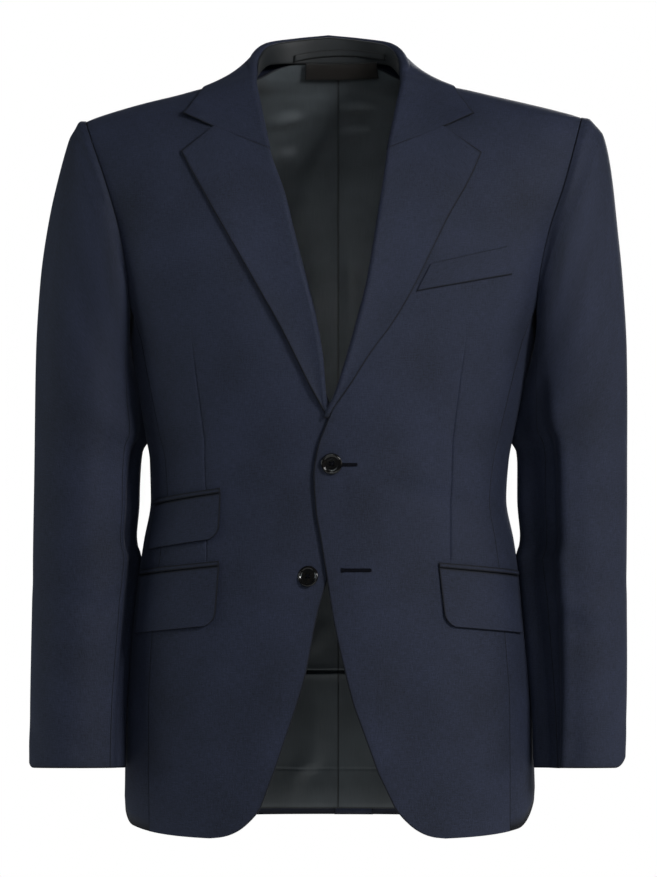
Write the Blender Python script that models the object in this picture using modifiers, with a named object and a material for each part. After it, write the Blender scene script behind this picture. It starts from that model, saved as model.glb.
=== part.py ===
# A two-button suit jacket in its worn form, hollow, front towards -Y, wearer's left towards +X.
# The origin lies between the shoulder seams, level with the back neck seam. Metres, +Z up.
import math

import bmesh
import bpy
import numpy as np

CLOTH = 0.0020            # wall of the fronts, backs, side bodies and sleeves
LAPEL = 0.0018            # wall of the collar and lapels
LINING = 0.0010
TRIM = 0.0014             # flaps, jets and welt
TURN_CLEAR = 0.0016       # how far a lapel turns beyond the edge of its front
TURN_EASE_Z = (-0.380, -0.350)
SEAM = 0.0003             # clear gap between neighbouring pieces
LAID = 0.0007             # clear gap under the collar and lapels, which rest on facets of other sizes
ROUND = 2.35              # exponent of the body rings: 2 is an ellipse, more is squarer
SHORT_DIAGONAL = 0.8      # a slanted cell is cut across its other corners if they are this much nearer

BACK_SEAM_X = 0.010       # the centre back seam hangs a little to the wearer's left
OVERLAP_LIFT = 0.0048     # how far the left front rides out over the right one
OVERLAP_X = (0.105, 0.020)          # it starts and is full at these distances from the centre
OVERLAP_Z = (-0.220, -0.350)
HEM_RISE = 0.010          # the hem is this much higher at the sides
HEM_EASE_Z = (-0.620, -0.760)
VENT_HEAD_Z = -0.615
VENT_UNDERLAP = 0.036
UNDERLAP_DEPTH = 0.0027   # how far the underlap is tucked in
UNDERLAP_X = (-0.012, -0.002)       # the tuck runs between these distances from the centre seam
UNDERLAP_RISE = 0.045
LINING_HEM_Z = -0.727
LINING_TUCK = 0.0029      # the lining goes in under the underlap
LINING_TUCK_X = (0.062, 0.044)
LINING_TUCK_RISE = (0.100, 0.030)

# Rows shared by the pieces round the body, apart from those of the armhole.
SHOULDER_ROWS = (-0.0262, -0.0305, -0.0355, -0.0430, -0.0520)
BODY_ROWS = (-0.285, -0.315, -0.345, -0.375, -0.407, -0.440, -0.461, -0.490, -0.530, -0.570,
             -0.615, -0.660, -0.7054, -0.7362, -0.7655)
CORNER_ROWS = (-0.7500, -0.7592, -0.7640)    # only in the fronts, where the lower corner is rounded
FRONT_COLUMNS = 10
BACK_COLUMNS = 9
ARMHOLE_BLEND = (1.0, 0.62, 0.30, 0.10)   # how far the side body's first rows follow the armhole

ROLL_HEIGHT = 0.0036      # the collar and lapels stand this far off the cloth where they turn
ROLL_POINTS = 5
COLLAR_STATIONS = 29
COLLAR_LEG = (0.0, 0.6)   # shares of the way from the collar's foot to its turn
COLLAR_FALL = (0.16, 0.36, 0.57, 0.79, 1.0)     # and from there to its outer edge
LAPEL_ROWS = (0, 0.084, 0.168, 0.252, 0.336, 0.420, 0.504, 0.588, 0.672, 0.756, 0.840, 0.90, 0.95, 1)
LAPEL_ACROSS = (0.12, 0.28, 0.46, 0.64, 0.76, 0.88, 1.0)
LAPEL_BEND = 0.64         # the point across it where a lapel's top edge meets the notch
LOWER_ROLL = 0.35         # share of the roll's height left at the lapel's lower end
FACING_DEPTH = 0.010      # how far the lapel's facing runs back inside
GORGE_GAP = 0.0010
GORGE_Z = -0.098          # inner end of the seam between collar and lapel
NOTCH = (0.1120, -0.0768)           # own-side x and z of the notch's inner corner
LAPEL_TIP = {1: (0.1490, -0.1016), -1: (0.1436, -0.1006)}
LAPEL_END_Z = {1: -0.360, -1: -0.345}

BUTTON_HOLE = 0.0010
BUTTON_HOLE_SPREAD = 0.0019
BUTTON_STEPS = 20

NAVY = (0.018, 0.022, 0.034)
NAVY_TRIM = (0.020, 0.024, 0.038)
LINING_GREY = (0.024, 0.028, 0.032)
LABEL_BROWN = (0.022, 0.018, 0.017)
HORN = (0.012, 0.011, 0.012)


def table(names, rows):
    return dict(zip(names.split(), np.array(rows, float).T))


# Rings of the body: half widths on the wearer's left and right, depth to the front and the back.
BODY = table("z left right front back", [
    (0.0350, 0.0720, 0.0720, 0.0450, 0.0600),
    (0.0000, 0.0745, 0.0745, 0.0430, 0.0620),
    (-0.0170, 0.0780, 0.0780, 0.0380, 0.0700),
    (-0.0235, 0.0850, 0.0850, 0.0370, 0.0745),
    (-0.0305, 0.1150, 0.1120, 0.0380, 0.0795),
    (-0.0345, 0.1370, 0.1300, 0.0385, 0.0820),
    (-0.0400, 0.1610, 0.1500, 0.0410, 0.0860),
    (-0.0480, 0.1965, 0.1830, 0.0460, 0.0910),
    (-0.0560, 0.2290, 0.2110, 0.0520, 0.0955),
    (-0.0622, 0.2500, 0.2300, 0.0565, 0.0985),
    (-0.0660, 0.2560, 0.2395, 0.0595, 0.1000),
    (-0.0800, 0.2660, 0.2520, 0.0695, 0.1060),
    (-0.1000, 0.2680, 0.2560, 0.0820, 0.1130),
    (-0.1300, 0.2630, 0.2510, 0.0960, 0.1220),
    (-0.1700, 0.2520, 0.2410, 0.1080, 0.1290),
    (-0.2100, 0.2390, 0.2280, 0.1160, 0.1320),
    (-0.2500, 0.2210, 0.2110, 0.1210, 0.1300),
    (-0.2850, 0.2050, 0.1965, 0.1235, 0.1250),
    (-0.3200, 0.1962, 0.1908, 0.1240, 0.1180),
    (-0.3670, 0.1855, 0.1838, 0.1210, 0.1070),
    (-0.4020, 0.1785, 0.1768, 0.1185, 0.1000),
    (-0.4400, 0.1760, 0.1760, 0.1175, 0.0965),
    (-0.4810, 0.1832, 0.1832, 0.1190, 0.1020),
    (-0.5200, 0.1890, 0.1890, 0.1215, 0.1110),
    (-0.5800, 0.1955, 0.1955, 0.1245, 0.1230),
    (-0.6500, 0.2018, 0.2005, 0.1260, 0.1290),
    (-0.7640, 0.2055, 0.2030, 0.1245, 0.1300),
])

# Distance of each armhole from the centre plane. The first and last rows of a side touch its ring.
ARMHOLE = table("z left right", [
    (-0.0622, 0.2500, 0.2400),
    (-0.0660, 0.2490, 0.2395),
    (-0.0800, 0.2450, 0.2350),
    (-0.1300, 0.2310, 0.2180),
    (-0.1800, 0.2165, 0.2055),
    (-0.2300, 0.2085, 0.1985),
    (-0.2850, 0.2050, 0.1965),
])
ARMHOLE_TOP = {1: -0.0622, -1: -0.0660}
ARMHOLE_BASE = -0.2850

# Edge of each front, as distance from the centre plane to its own side: the neck, the roll line
# and the cutaway. Negative where it crosses the centre.
FRONT_EDGE = table("z left right", [
    (-0.0262, 0.0800, 0.0800),
    (-0.0320, 0.0785, 0.0785),
    (-0.0480, 0.0735, 0.0735),
    (-0.0700, 0.0665, 0.0665),
    (-0.0980, 0.0605, 0.0605),
    (-0.1350, 0.0558, 0.0485),
    (-0.1840, 0.0480, 0.0362),
    (-0.2310, 0.0400, 0.0242),
    (-0.2630, 0.0318, 0.0162),
    (-0.3080, 0.0188, 0.0085),
    (-0.3397, 0.0078, 0.0058),
    (-0.3480, 0.0035, 0.0050),
    (-0.3704, -0.0048, -0.0100),
    (-0.3886, -0.0106, -0.0160),
    (-0.4146, -0.0144, -0.0180),
    (-0.4482, -0.0125, -0.0150),
    (-0.4770, -0.0077, -0.0095),
    (-0.5134, -0.0019, 0.0005),
    (-0.5499, 0.0038, 0.0106),
    (-0.6037, 0.0154, 0.0211),
    (-0.6430, 0.0259, 0.0325),
    (-0.6795, 0.0394, 0.0440),
    (-0.7054, 0.0490, 0.0540),
    (-0.7362, 0.0645, 0.0660),
    (-0.7500, 0.0765, 0.0775),
    (-0.7592, 0.0890, 0.0900),
    (-0.7640, 0.1020, 0.1035),
    (-0.7655, 0.1130, 0.1150),
])

# Seams round the body, in degrees from the centre front.
SIDE_SEAMS = table("z front back", [
    (-0.2500, 66.0, 116.0),
    (-0.3600, 64.0, 119.0),
    (-0.4300, 61.0, 122.0),
    (-0.5500, 60.0, 122.0),
    (-0.7640, 57.0, 121.0),
])

# Back neckline: own-side distance of its edge from the centre plane.
BACK_NECK = table("z edge", [
    (-0.0010, 0.0240),
    (-0.0040, 0.0410),
    (-0.0100, 0.0570),
    (-0.0170, 0.0690),
])

# Outer edge of each lapel below its tip.
LAPEL_EDGE = table("z left right", [
    (-0.1006, 0.1495, 0.1436),
    (-0.1290, 0.1368, 0.1280),
    (-0.1640, 0.1168, 0.1085),
    (-0.2000, 0.0990, 0.0876),
    (-0.2365, 0.0810, 0.0668),
    (-0.2715, 0.0600, 0.0470),
    (-0.2955, 0.0420, 0.0348),
    (-0.3291, 0.0225, 0.0185),
    (-0.3450, 0.0130, 0.0120),
    (-0.3600, 0.0050, 0.0060),
])

# Half of the collar from the centre back to its notch end: the line it turns on, its foot inside
# the neck, and its outer edge over the shoulders.
COLLAR = table("turn_x turn_y turn_z foot_x foot_y foot_z edge_x edge_y edge_z", [
    (0.0000, 0.0610, 0.0230, 0.0000, 0.0600, -0.0025, 0.0000, 0.0880, -0.0230),
    (0.0330, 0.0560, 0.0190, 0.0335, 0.0540, -0.0030, 0.0480, 0.0850, -0.0240),
    (0.0600, 0.0380, 0.0118, 0.0605, 0.0370, -0.0055, 0.0880, 0.0640, -0.0275),
    (0.0735, 0.0130, -0.0020, 0.0755, 0.0130, -0.0200, 0.1120, 0.0260, -0.0290),
    (0.0755, -0.0070, -0.0130, 0.0800, -0.0070, -0.0310, 0.1200, -0.0060, -0.0335),
    (0.0750, -0.0260, -0.0310, 0.0840, -0.0250, -0.0400, 0.1290, -0.0300, -0.0440),
    (0.0700, -0.0460, -0.0580, 0.0800, -0.0450, -0.0600, 0.1370, -0.0420, -0.0550),
    (0.0605, -0.0800, -0.0980, 0.0700, -0.0770, -0.0925, 0.1420, -0.0480, -0.0645),
])

# Sections down a sleeve after the armhole: outer line on each side, height of the inner line, how
# far that line stands off the body, middle and half depths, and how much armhole shape is left.
SLEEVE = table("out_z out_left out_right in_z clear middle front back armhole", [
    (-0.0690, 0.2650, 0.2485, -0.2920, 0.0010, 0.004, 0.070, 0.076, 0.97),
    (-0.0830, 0.2745, 0.2570, -0.2990, 0.0014, 0.004, 0.072, 0.077, 0.88),
    (-0.1150, 0.2805, 0.2662, -0.3080, 0.0018, 0.004, 0.073, 0.077, 0.66),
    (-0.1640, 0.2860, 0.2772, -0.3190, 0.0022, 0.004, 0.072, 0.074, 0.38),
    (-0.2240, 0.2920, 0.2858, -0.3350, 0.0014, 0.004, 0.069, 0.070, 0.15),
    (-0.2950, 0.2960, 0.2902, -0.3620, 0.0006, 0.004, 0.066, 0.066, 0.0),
    (-0.3600, 0.2965, 0.2912, -0.3950, 0.0042, 0.003, 0.063, 0.063, 0.0),
    (-0.4300, 0.2962, 0.2920, -0.4400, 0.0110, -0.001, 0.061, 0.060, 0.0),
    (-0.5000, 0.2950, 0.2925, -0.5000, 0.0030, -0.009, 0.058, 0.057, 0.0),
    (-0.5800, 0.2945, 0.2932, -0.5800, -0.0004, -0.021, 0.053, 0.052, 0.0),
    (-0.6400, 0.2935, 0.2936, -0.6400, -0.0018, -0.030, 0.049, 0.048, 0.0),
    (-0.7030, 0.2915, 0.2938, -0.7030, -0.0026, -0.040, 0.046, 0.046, 0.0),
])
SLEEVE_STEP = 15          # degrees between the points round a sleeve
FRONT_SLEEVE_SEAM = 135
BACK_SLEEVE_SEAM = -105
SEAM_ROW = 9              # the side seams meet the armhole this many steps from its top
SLEEVE_SET = 0.0005       # gap between a sleeve and its armhole
ARMHOLE_DEPTH = dict(front=0.066, back=0.075)
SLEEVE_STOPS = (0, 0.5, 1, 1.5, 2, 3, 4, 5, 6, 7, 8, 9, 10, 11)   # rows of the table used, and halves

# Flaps: own-side x of the front end, height there, drop towards the side, length round the body
# and depth. A jet lies along the top of each.
FLAPS = {
    "left": dict(side=1, front=0.1060, top=-0.5060, drop=0.0105, length=0.108, depth=0.058),
    "right": dict(side=-1, front=0.1050, top=-0.5030, drop=0.0120, length=0.108, depth=0.059),
    "ticket": dict(side=-1, front=0.1035, top=-0.4330, drop=0.0120, length=0.090, depth=0.046),
}
FLAP_ROWS = (0, 0.35, 0.65, 0.80, 0.90, 0.97, 1.0)
FLAP_COLUMNS = 8
FLAP_CORNER = 0.013
JET_DEPTH = 0.005
JET_EXTRA = 0.004         # a jet is this much longer than its flap
WELT = dict(low_in=0.0845, low_out=0.1775, high_in=0.0985, high_out=0.1722,
            low_z=-0.2385, depth=0.027, climb=0.0175)

LOOP = dict(middle=0.0125, half=0.050, height=0.0070, z=0.0055, sag=0.0060, thickness=0.0015)
LABEL = dict(left=-0.0243, right=0.0540, top=-0.0068, bottom=-0.0200, thickness=0.0010)

# Each button lies on the front of its own side.
BUTTONS = {
    "button_upper": dict(side=1, x=0.0029, z=-0.4040),
    "button_lower": dict(side=-1, x=-0.0192, z=-0.5125),
}
BUTTON_PROFILE = table("radius height", [
    (0.0000, 0.0000),
    (0.0072, 0.0000),
    (0.0096, 0.0008),
    (0.0102, 0.0018),
    (0.0097, 0.0030),
    (0.0084, 0.0034),
    (0.0072, 0.0028),
    (0.0000, 0.0024),
])


def smooth(xs, ys, at):
    # monotone cubic through the rows, level beyond the first and last
    order = np.argsort(xs)
    xs, ys = xs[order], ys[order]
    step = np.diff(xs)
    slope = np.diff(ys) / step
    tangent = np.zeros_like(ys)
    tangent[0], tangent[-1] = slope[0], slope[-1]
    for k in range(1, len(xs) - 1):
        if slope[k - 1] * slope[k] > 0:
            first = 2 * step[k] + step[k - 1]
            second = step[k] + 2 * step[k - 1]
            tangent[k] = (first + second) / (first / slope[k - 1] + second / slope[k])
    at = np.clip(at, xs[0], xs[-1])
    k = np.clip(np.searchsorted(xs, at) - 1, 0, len(step) - 1)
    t = (at - xs[k]) / step[k]
    here = (1 + 2 * t) * (1 - t) ** 2 * ys[k] + t * (1 - t) ** 2 * step[k] * tangent[k]
    there = t ** 2 * (3 - 2 * t) * ys[k + 1] + t ** 2 * (t - 1) * step[k] * tangent[k + 1]
    return here + there


def by_height(rows, column, z):
    return smooth(rows["z"], rows[column], z)


def by_row(rows, column, at):
    return smooth(np.arange(len(rows[column]), dtype=float), rows[column], at)


def ramp(value, start, end):
    t = np.clip((value - start) / (end - start), 0, 1)
    return t * t * (3 - 2 * t)


def side_name(side):
    return "left" if side > 0 else "right"


def widths(x, z):
    return np.where(x >= 0, by_height(BODY, "left", z), by_height(BODY, "right", z))


def ring(angle, z):
    # point of the body at an angle from the centre front, positive to the wearer's left
    sine, cosine = np.sin(angle), np.cos(angle)
    width = widths(sine, z)
    depth = np.where(cosine >= 0, by_height(BODY, "front", z), by_height(BODY, "back", z))
    x = width * np.sign(sine) * np.abs(sine) ** (2 / ROUND)
    y = -depth * np.sign(cosine) * np.abs(cosine) ** (2 / ROUND)
    return np.stack(np.broadcast_arrays(x, y, z), -1)


def level(p):
    # 1 on the body's outer face, more outside it
    x, y, z = np.moveaxis(p, -1, 0)
    depth = np.where(y <= 0, by_height(BODY, "front", z), by_height(BODY, "back", z))
    return (np.abs(x / widths(x, z)) ** ROUND + np.abs(y / depth) ** ROUND) ** (1 / ROUND)


def steepness(p, reach=2e-4):
    steps = np.eye(3) * reach
    return np.stack([(level(p + s) - level(p - s)) / (2 * reach) for s in steps], -1)


def outward(p):
    rise = steepness(p)
    return rise / np.linalg.norm(rise, axis=-1, keepdims=True)


def settle(p, lift, rule="on"):
    # move points along the body's normal to a distance from it, or only out over or in under it
    for _ in range(5):
        rise = steepness(p)
        size = np.linalg.norm(rise, axis=-1)
        move = lift - (level(p) - 1) / size
        if rule == "over":
            move = np.maximum(move, 0)
        if rule == "under":
            move = np.minimum(move, 0)
        p = p + rise * (move / size)[..., None]
    return p


def on_front(x, z):
    # point of the body's front face straight behind a place in the front view
    depth = by_height(BODY, "front", z)
    inside = np.clip(1 - np.abs(x / widths(x, z)) ** ROUND, 0, 1)
    return np.stack(np.broadcast_arrays(x, -depth * inside ** (1 / ROUND), z), -1)


def front_angle(side, x, z):
    # angle on the own side of a place in the front view, negative across the centre
    ratio = np.clip(np.abs(x) / widths(side * x, z), 0, 1)
    return np.sign(x) * np.arcsin(ratio ** (ROUND / 2))


def armhole_angle(side, z):
    return front_angle(side, by_height(ARMHOLE, side_name(side), z), z)


def armhole_heights(side):
    top = ARMHOLE_TOP[side]
    middle, half = (top + ARMHOLE_BASE) / 2, (top - ARMHOLE_BASE) / 2
    steps = np.radians(np.arange(0, 181, SLEEVE_STEP))
    return middle + half * np.cos(steps)


def panel_heights(side, more_rows=()):
    # every panel of a side has the same rows, so that the seams stay parallel
    arm = armhole_heights(side)[:SEAM_ROW + 1]
    return np.array(sorted([*SHOULDER_ROWS, *arm, *BODY_ROWS, *more_rows], reverse=True))


def measured(side, start, end, z):
    # fine angles along a ring, and the distance run at each
    fine = np.linspace(start, end, 240)
    path = ring(side * fine, np.full_like(fine, z))
    run = np.concatenate([[0], np.cumsum(np.linalg.norm(np.diff(path, axis=0), axis=1))])
    return fine, run


def spread(side, start, end, z, count):
    # angles at even steps along a ring between two seams, half a gap in from each
    fine, run = measured(side, start, end, z)
    return np.interp(np.linspace(SEAM / 2, run[-1] - SEAM / 2, count), run, fine)


def hem_shape(angle, z):
    return z + HEM_RISE * np.sin(angle) ** 6 * ramp(z, *HEM_EASE_Z)


def front_lift(side, x, z):
    # the left front rides over the right one round the fastening
    if side < 0:
        return np.zeros(np.broadcast(x, z).shape)
    return OVERLAP_LIFT * ramp(x, *OVERLAP_X) * ramp(z, *OVERLAP_Z)


def grid_normals(grid, closed=False):
    if closed:
        along = np.roll(grid, -1, 1) - np.roll(grid, 1, 1)
    else:
        along = np.gradient(grid, axis=1)
    down = np.gradient(grid, axis=0)
    normal = np.cross(along, down)
    return normal / np.linalg.norm(normal, axis=-1, keepdims=True)


def material(name, colour, roughness, metallic=0.0):
    made = bpy.data.materials.new(name)
    made.use_nodes = True
    shader = made.node_tree.nodes["Principled BSDF"]
    shader.inputs["Base Color"].default_value = (*colour, 1)
    shader.inputs["Roughness"].default_value = roughness
    shader.inputs["Metallic"].default_value = metallic
    return made


def finish(name, mesh_builder, colour, roughness):
    bmesh.ops.recalc_face_normals(mesh_builder, faces=mesh_builder.faces)
    mesh = bpy.data.meshes.new(name)
    mesh_builder.to_mesh(mesh)
    mesh_builder.free()
    piece = bpy.data.objects.new(name, mesh)
    mesh.materials.append(material(name + "_finish", colour, roughness))
    jacket.objects.link(piece)
    return piece


def wall(name, outer, inner, colour, roughness=0.85, keep=None):
    # closed sheet between two grids; keep marks the cells that are cloth
    rows, columns = outer.shape[:2]
    if keep is None:
        keep = np.ones((rows - 1, columns - 1), bool)
    builder = bmesh.new()
    corners = {}

    def corner(face, row, column):
        key = (face, row, column)
        if key not in corners:
            corners[key] = builder.verts.new((outer, inner)[face][row, column])
        return corners[key]

    def is_cloth(row, column):
        return 0 <= row < rows - 1 and 0 <= column < columns - 1 and keep[row, column]

    def rim(first, second):
        a, b = corner(0, *first), corner(0, *second)
        c, d = corner(1, *second), corner(1, *first)
        builder.faces.new((a, b, c))
        builder.faces.new((a, c, d))

    for row, column in zip(*np.nonzero(keep)):
        around = [(row, column), (row, column + 1), (row + 1, column + 1), (row + 1, column)]
        across = [np.linalg.norm(outer[around[k]] - outer[around[k + 2]]) for k in (0, 1)]
        turned = across[1] < SHORT_DIAGONAL * across[0]
        for face in (0, 1):
            a, b, c, d = (corner(face, *place) for place in around)
            builder.faces.new((a, b, d) if turned else (a, b, c))
            builder.faces.new((b, c, d) if turned else (a, c, d))
        beyond = [(row - 1, column), (row, column + 1), (row + 1, column), (row, column - 1)]
        for k, place in enumerate(beyond):
            if not is_cloth(*place):
                rim(around[k], around[(k + 1) % 4])
    return finish(name, builder, colour, roughness)


def body_panel(name, angles, heights, side, lift, thickness, colour, roughness=0.85, keep=None):
    place = ring(side * angles, heights)
    out = outward(place)
    outer = place + out * lift[..., None]
    inner = outer - out * thickness
    return wall(name, outer, inner, colour, roughness, keep)


def front(side):
    heights = panel_heights(side, CORNER_ROWS)
    rows = []
    for z in heights:
        set_back = TURN_CLEAR * ramp(z, *TURN_EASE_Z)
        edge = front_angle(side, by_height(FRONT_EDGE, side_name(side), z) + set_back, z)
        if z > ARMHOLE_TOP[side] + 1e-6:
            limit = math.pi / 2
        elif z > armhole_heights(side)[SEAM_ROW] - 1e-6:
            limit = armhole_angle(side, z)
        else:
            limit = side_seam(side, "front", z)
        rows.append(spread(side, edge, limit, z, FRONT_COLUMNS))
    angles = np.array(rows)
    z = hem_shape(angles, heights[:, None])
    x = side * ring(side * angles, z)[..., 0]
    body_panel(f"front_{side_name(side)}", angles, z, side, front_lift(side, x, z), CLOTH, NAVY)


def side_seam(side, which, z):
    # the seams start on the armhole and ease into their own line
    meeting = armhole_heights(side)[SEAM_ROW]
    start = armhole_angle(side, meeting)
    if which == "back":
        start = math.pi - start
    line = math.radians(float(by_height(SIDE_SEAMS, which, z)))
    return start + (line - start) * ramp(z, meeting, meeting - 0.12)


def side_body(side):
    arm = armhole_heights(side)[SEAM_ROW:]
    shared = panel_heights(side)
    shared = shared[shared <= arm[0] + 1e-6]
    tops = np.concatenate([arm, arm[-2::-1]])
    angles_top = np.concatenate([armhole_angle(side, arm), math.pi - armhole_angle(side, arm[-2::-1])])
    ease = np.zeros(len(shared))
    ease[:len(ARMHOLE_BLEND)] = ARMHOLE_BLEND
    rows = []
    heights = []
    for k, z in enumerate(shared):
        start, end = side_seam(side, "front", z), side_seam(side, "back", z)
        even = spread(side, start, end, z, len(tops))
        weight = ramp(k, len(ARMHOLE_BLEND) - 1, 0)
        row = even * (1 - weight) + angles_top * weight
        row[0], row[-1] = even[0], even[-1]
        rows.append(row)
        heights.append(z + (tops - tops[0]) * ease[k])
    angles, z = np.array(rows), np.array(heights)
    z[0, 1:-1] -= SEAM
    z = hem_shape(angles, z)
    body_panel(f"side_body_{side_name(side)}", angles, z, side, np.zeros(z.shape), CLOTH, NAVY)


def back_rows(side):
    heights = np.concatenate([BACK_NECK["z"], [-0.0235], panel_heights(side)])
    limits = []
    for z in heights:
        if z > -0.0230:
            edge = float(by_height(BACK_NECK, "edge", z))
            limits.append(math.pi - front_angle(side, edge, z))
        elif z > ARMHOLE_TOP[side] + 1e-6:
            limits.append(math.pi / 2)
        elif z > armhole_heights(side)[SEAM_ROW] - 1e-6:
            limits.append(math.pi - armhole_angle(side, z))
        else:
            limits.append(side_seam(side, "back", z))
    return heights, limits


def behind(side, x, z):
    # angle on the own side of a place at the back, beyond the middle if it is past the centre
    return math.pi - side * front_angle(1, x, z)


def back_angles(side, heights, limits):
    rows = [spread(side, limit, behind(side, BACK_SEAM_X, z), z, BACK_COLUMNS)
            for z, limit in zip(heights, limits)]
    return np.array(rows)


def back(side):
    heights, limits = back_rows(side)
    angles = back_angles(side, heights, limits)
    keep = None
    if side < 0:
        # the underlap of the vent runs on past the centre seam
        past = [behind(side, BACK_SEAM_X + VENT_UNDERLAP * share, heights) for share in (0.5, 1)]
        angles = np.column_stack([angles, *past])
        keep = np.ones((len(heights) - 1, angles.shape[1] - 1), bool)
        keep[:, BACK_COLUMNS - 1:] = (heights[:-1] <= VENT_HEAD_Z + 1e-6)[:, None]
    z = hem_shape(angles, heights[:, None])
    lift = np.zeros(z.shape)
    if side < 0:
        distance = ring(side * angles, z)[..., 0] - BACK_SEAM_X
        below = ramp(z, VENT_HEAD_Z + UNDERLAP_RISE, VENT_HEAD_Z)
        lift = -UNDERLAP_DEPTH * ramp(distance, *UNDERLAP_X) * below
    body_panel(f"back_{side_name(side)}", angles, z, side, lift, CLOTH, NAVY, keep=keep)


def lining_back(side):
    heights, limits = back_rows(side)
    chosen = heights > LINING_HEM_Z
    heights = np.append(heights[chosen], LINING_HEM_Z)
    limits = np.append(np.array(limits)[chosen], side_seam(side, "back", LINING_HEM_Z))
    angles = back_angles(side, heights, limits)
    z = np.broadcast_to(heights[:, None], angles.shape)
    distance = np.abs(ring(side * angles, z)[..., 0] - BACK_SEAM_X)
    below = ramp(z, *(VENT_HEAD_Z + rise for rise in LINING_TUCK_RISE))
    lift = -(CLOTH + SEAM) - LINING_TUCK * ramp(distance, *LINING_TUCK_X) * below
    body_panel(f"lining_back_{side_name(side)}", angles, z, side, lift, LINING, LINING_GREY, 0.5)


def armhole_ring(side, steps):
    top = ARMHOLE_TOP[side]
    z = (top + ARMHOLE_BASE) / 2 + (top - ARMHOLE_BASE) / 2 * np.cos(steps)
    angle = armhole_angle(side, z)
    angle = np.where(np.sin(steps) >= 0, angle, math.pi - angle)
    return ring(side * angle, z)


def sleeve_section(side, at, steps):
    # oval between the outer and the inner line, deeper to the front or the back
    value = {name: by_row(SLEEVE, name, at) for name in SLEEVE}
    outer = np.array([side * value[f"out_{side_name(side)}"], value["middle"], value["out_z"]])
    beside = side * (widths(side, value["in_z"]) + value["clear"])
    inner = np.array([beside, value["middle"], value["in_z"]])
    depth = np.where(np.sin(steps) >= 0, value["front"], value["back"])
    oval = (outer + inner) / 2 + np.cos(steps)[:, None] * (outer - inner) / 2
    oval[:, 1] -= np.sin(steps) * depth
    return oval, float(value["armhole"])


def sleeve_grid(side):
    steps = np.radians(np.arange(BACK_SLEEVE_SEAM, BACK_SLEEVE_SEAM + 361, SLEEVE_STEP))
    armhole = armhole_ring(side, steps) + np.array([side * SLEEVE_SET, 0, 0])
    top, base = (ring(side * math.pi / 2, z) for z in (ARMHOLE_TOP[side], ARMHOLE_BASE))
    depth = np.where(np.sin(steps) >= 0, ARMHOLE_DEPTH["front"], ARMHOLE_DEPTH["back"])
    plain = (top + base) / 2 + np.cos(steps)[:, None] * (top - base) / 2
    plain[:, 1] -= np.sin(steps) * depth
    rows = [armhole]
    for at in SLEEVE_STOPS:
        oval, share = sleeve_section(side, at, steps)
        rows.append(oval + share * (armhole - plain))
    return np.array(rows)


def part_seams(grid):
    # draw the first and last columns in by half a seam
    parted = grid.copy()
    for edge, beside in ((0, 1), (-1, -2)):
        step = grid[:, beside] - grid[:, edge]
        parted[:, edge] += step / np.linalg.norm(step, axis=-1, keepdims=True) * SEAM / 2
    return parted


def sleeve(side):
    grid = sleeve_grid(side)
    out = grid_normals(grid[:, :-1], closed=True)
    out = np.concatenate([out, out[:, :1]], 1)
    middle = grid.mean(1, keepdims=True)
    if np.sum(out * (grid - middle)) < 0:
        out = -out
    split = (FRONT_SLEEVE_SEAM - BACK_SLEEVE_SEAM) // SLEEVE_STEP
    pieces = {"top_sleeve": slice(0, split + 1), "under_sleeve": slice(split, None)}
    for name, columns in pieces.items():
        outer = part_seams(grid[:, columns])
        inner = part_seams(grid[:, columns] - out[:, columns] * CLOTH)
        wall(f"{name}_{side_name(side)}", outer, inner, NAVY)


def turned_section(turn, toward, out, rise, depth):
    # points round the half circle that a collar or lapel makes over an edge
    middle, radius = (rise - depth) / 2, (rise + depth) / 2
    swing = np.radians(np.linspace(-90, 90, ROLL_POINTS))
    height = middle + radius * np.sin(swing)
    return [turn + out * h - toward * radius * math.cos(a) for h, a in zip(height, swing)]


def thick_sheet(name, middle, colour):
    out = grid_normals(middle) * LAPEL / 2
    wall(name, middle + out, middle - out, colour)


def direction(start, end, out):
    way = end - start
    way = way - out * np.dot(way, out)
    return way / np.linalg.norm(way)


def collar():
    last = len(COLLAR["turn_x"]) - 1
    stations = np.linspace(-last, last, COLLAR_STATIONS)
    inside = CLOTH + LINING + 3 * SEAM + LAPEL / 2
    rows = []
    for station in stations:
        side = 1 if station >= 0 else -1
        value = {name: float(by_row(COLLAR, name, abs(station))) for name in COLLAR}
        turn, foot, edge = (np.array([side * value[f"{k}_x"], value[f"{k}_y"], value[f"{k}_z"]])
                            for k in ("turn", "foot", "edge"))
        turn = settle(turn, 0.0)
        out = outward(turn)
        toward = direction(turn, edge, out)
        leg = [settle(foot + (turn - foot) * share, -inside, "under") for share in COLLAR_LEG]
        roll = turned_section(turn, toward, out, ROLL_HEIGHT, inside)
        low = LAID + LAPEL / 2
        flat_start, flat_edge = turn[[0, 2]], edge[[0, 2]]
        edge = settle(edge, low)
        on_chest = ramp(abs(station), 4.0, 6.0)
        fall = []
        for share in COLLAR_FALL:
            lift = low + (ROLL_HEIGHT - low) * (1 - share) ** 3
            bridged = settle(roll[-1] + (edge - roll[-1]) * share, lift, "over")
            laid = on_front(*(flat_start + (flat_edge - flat_start) * share))
            laid = laid + outward(laid) * lift
            fall.append(bridged + (laid - bridged) * on_chest)
        rows.append(np.array(leg + roll + fall))
    thick_sheet("collar", np.array(rows), NAVY)


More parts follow.
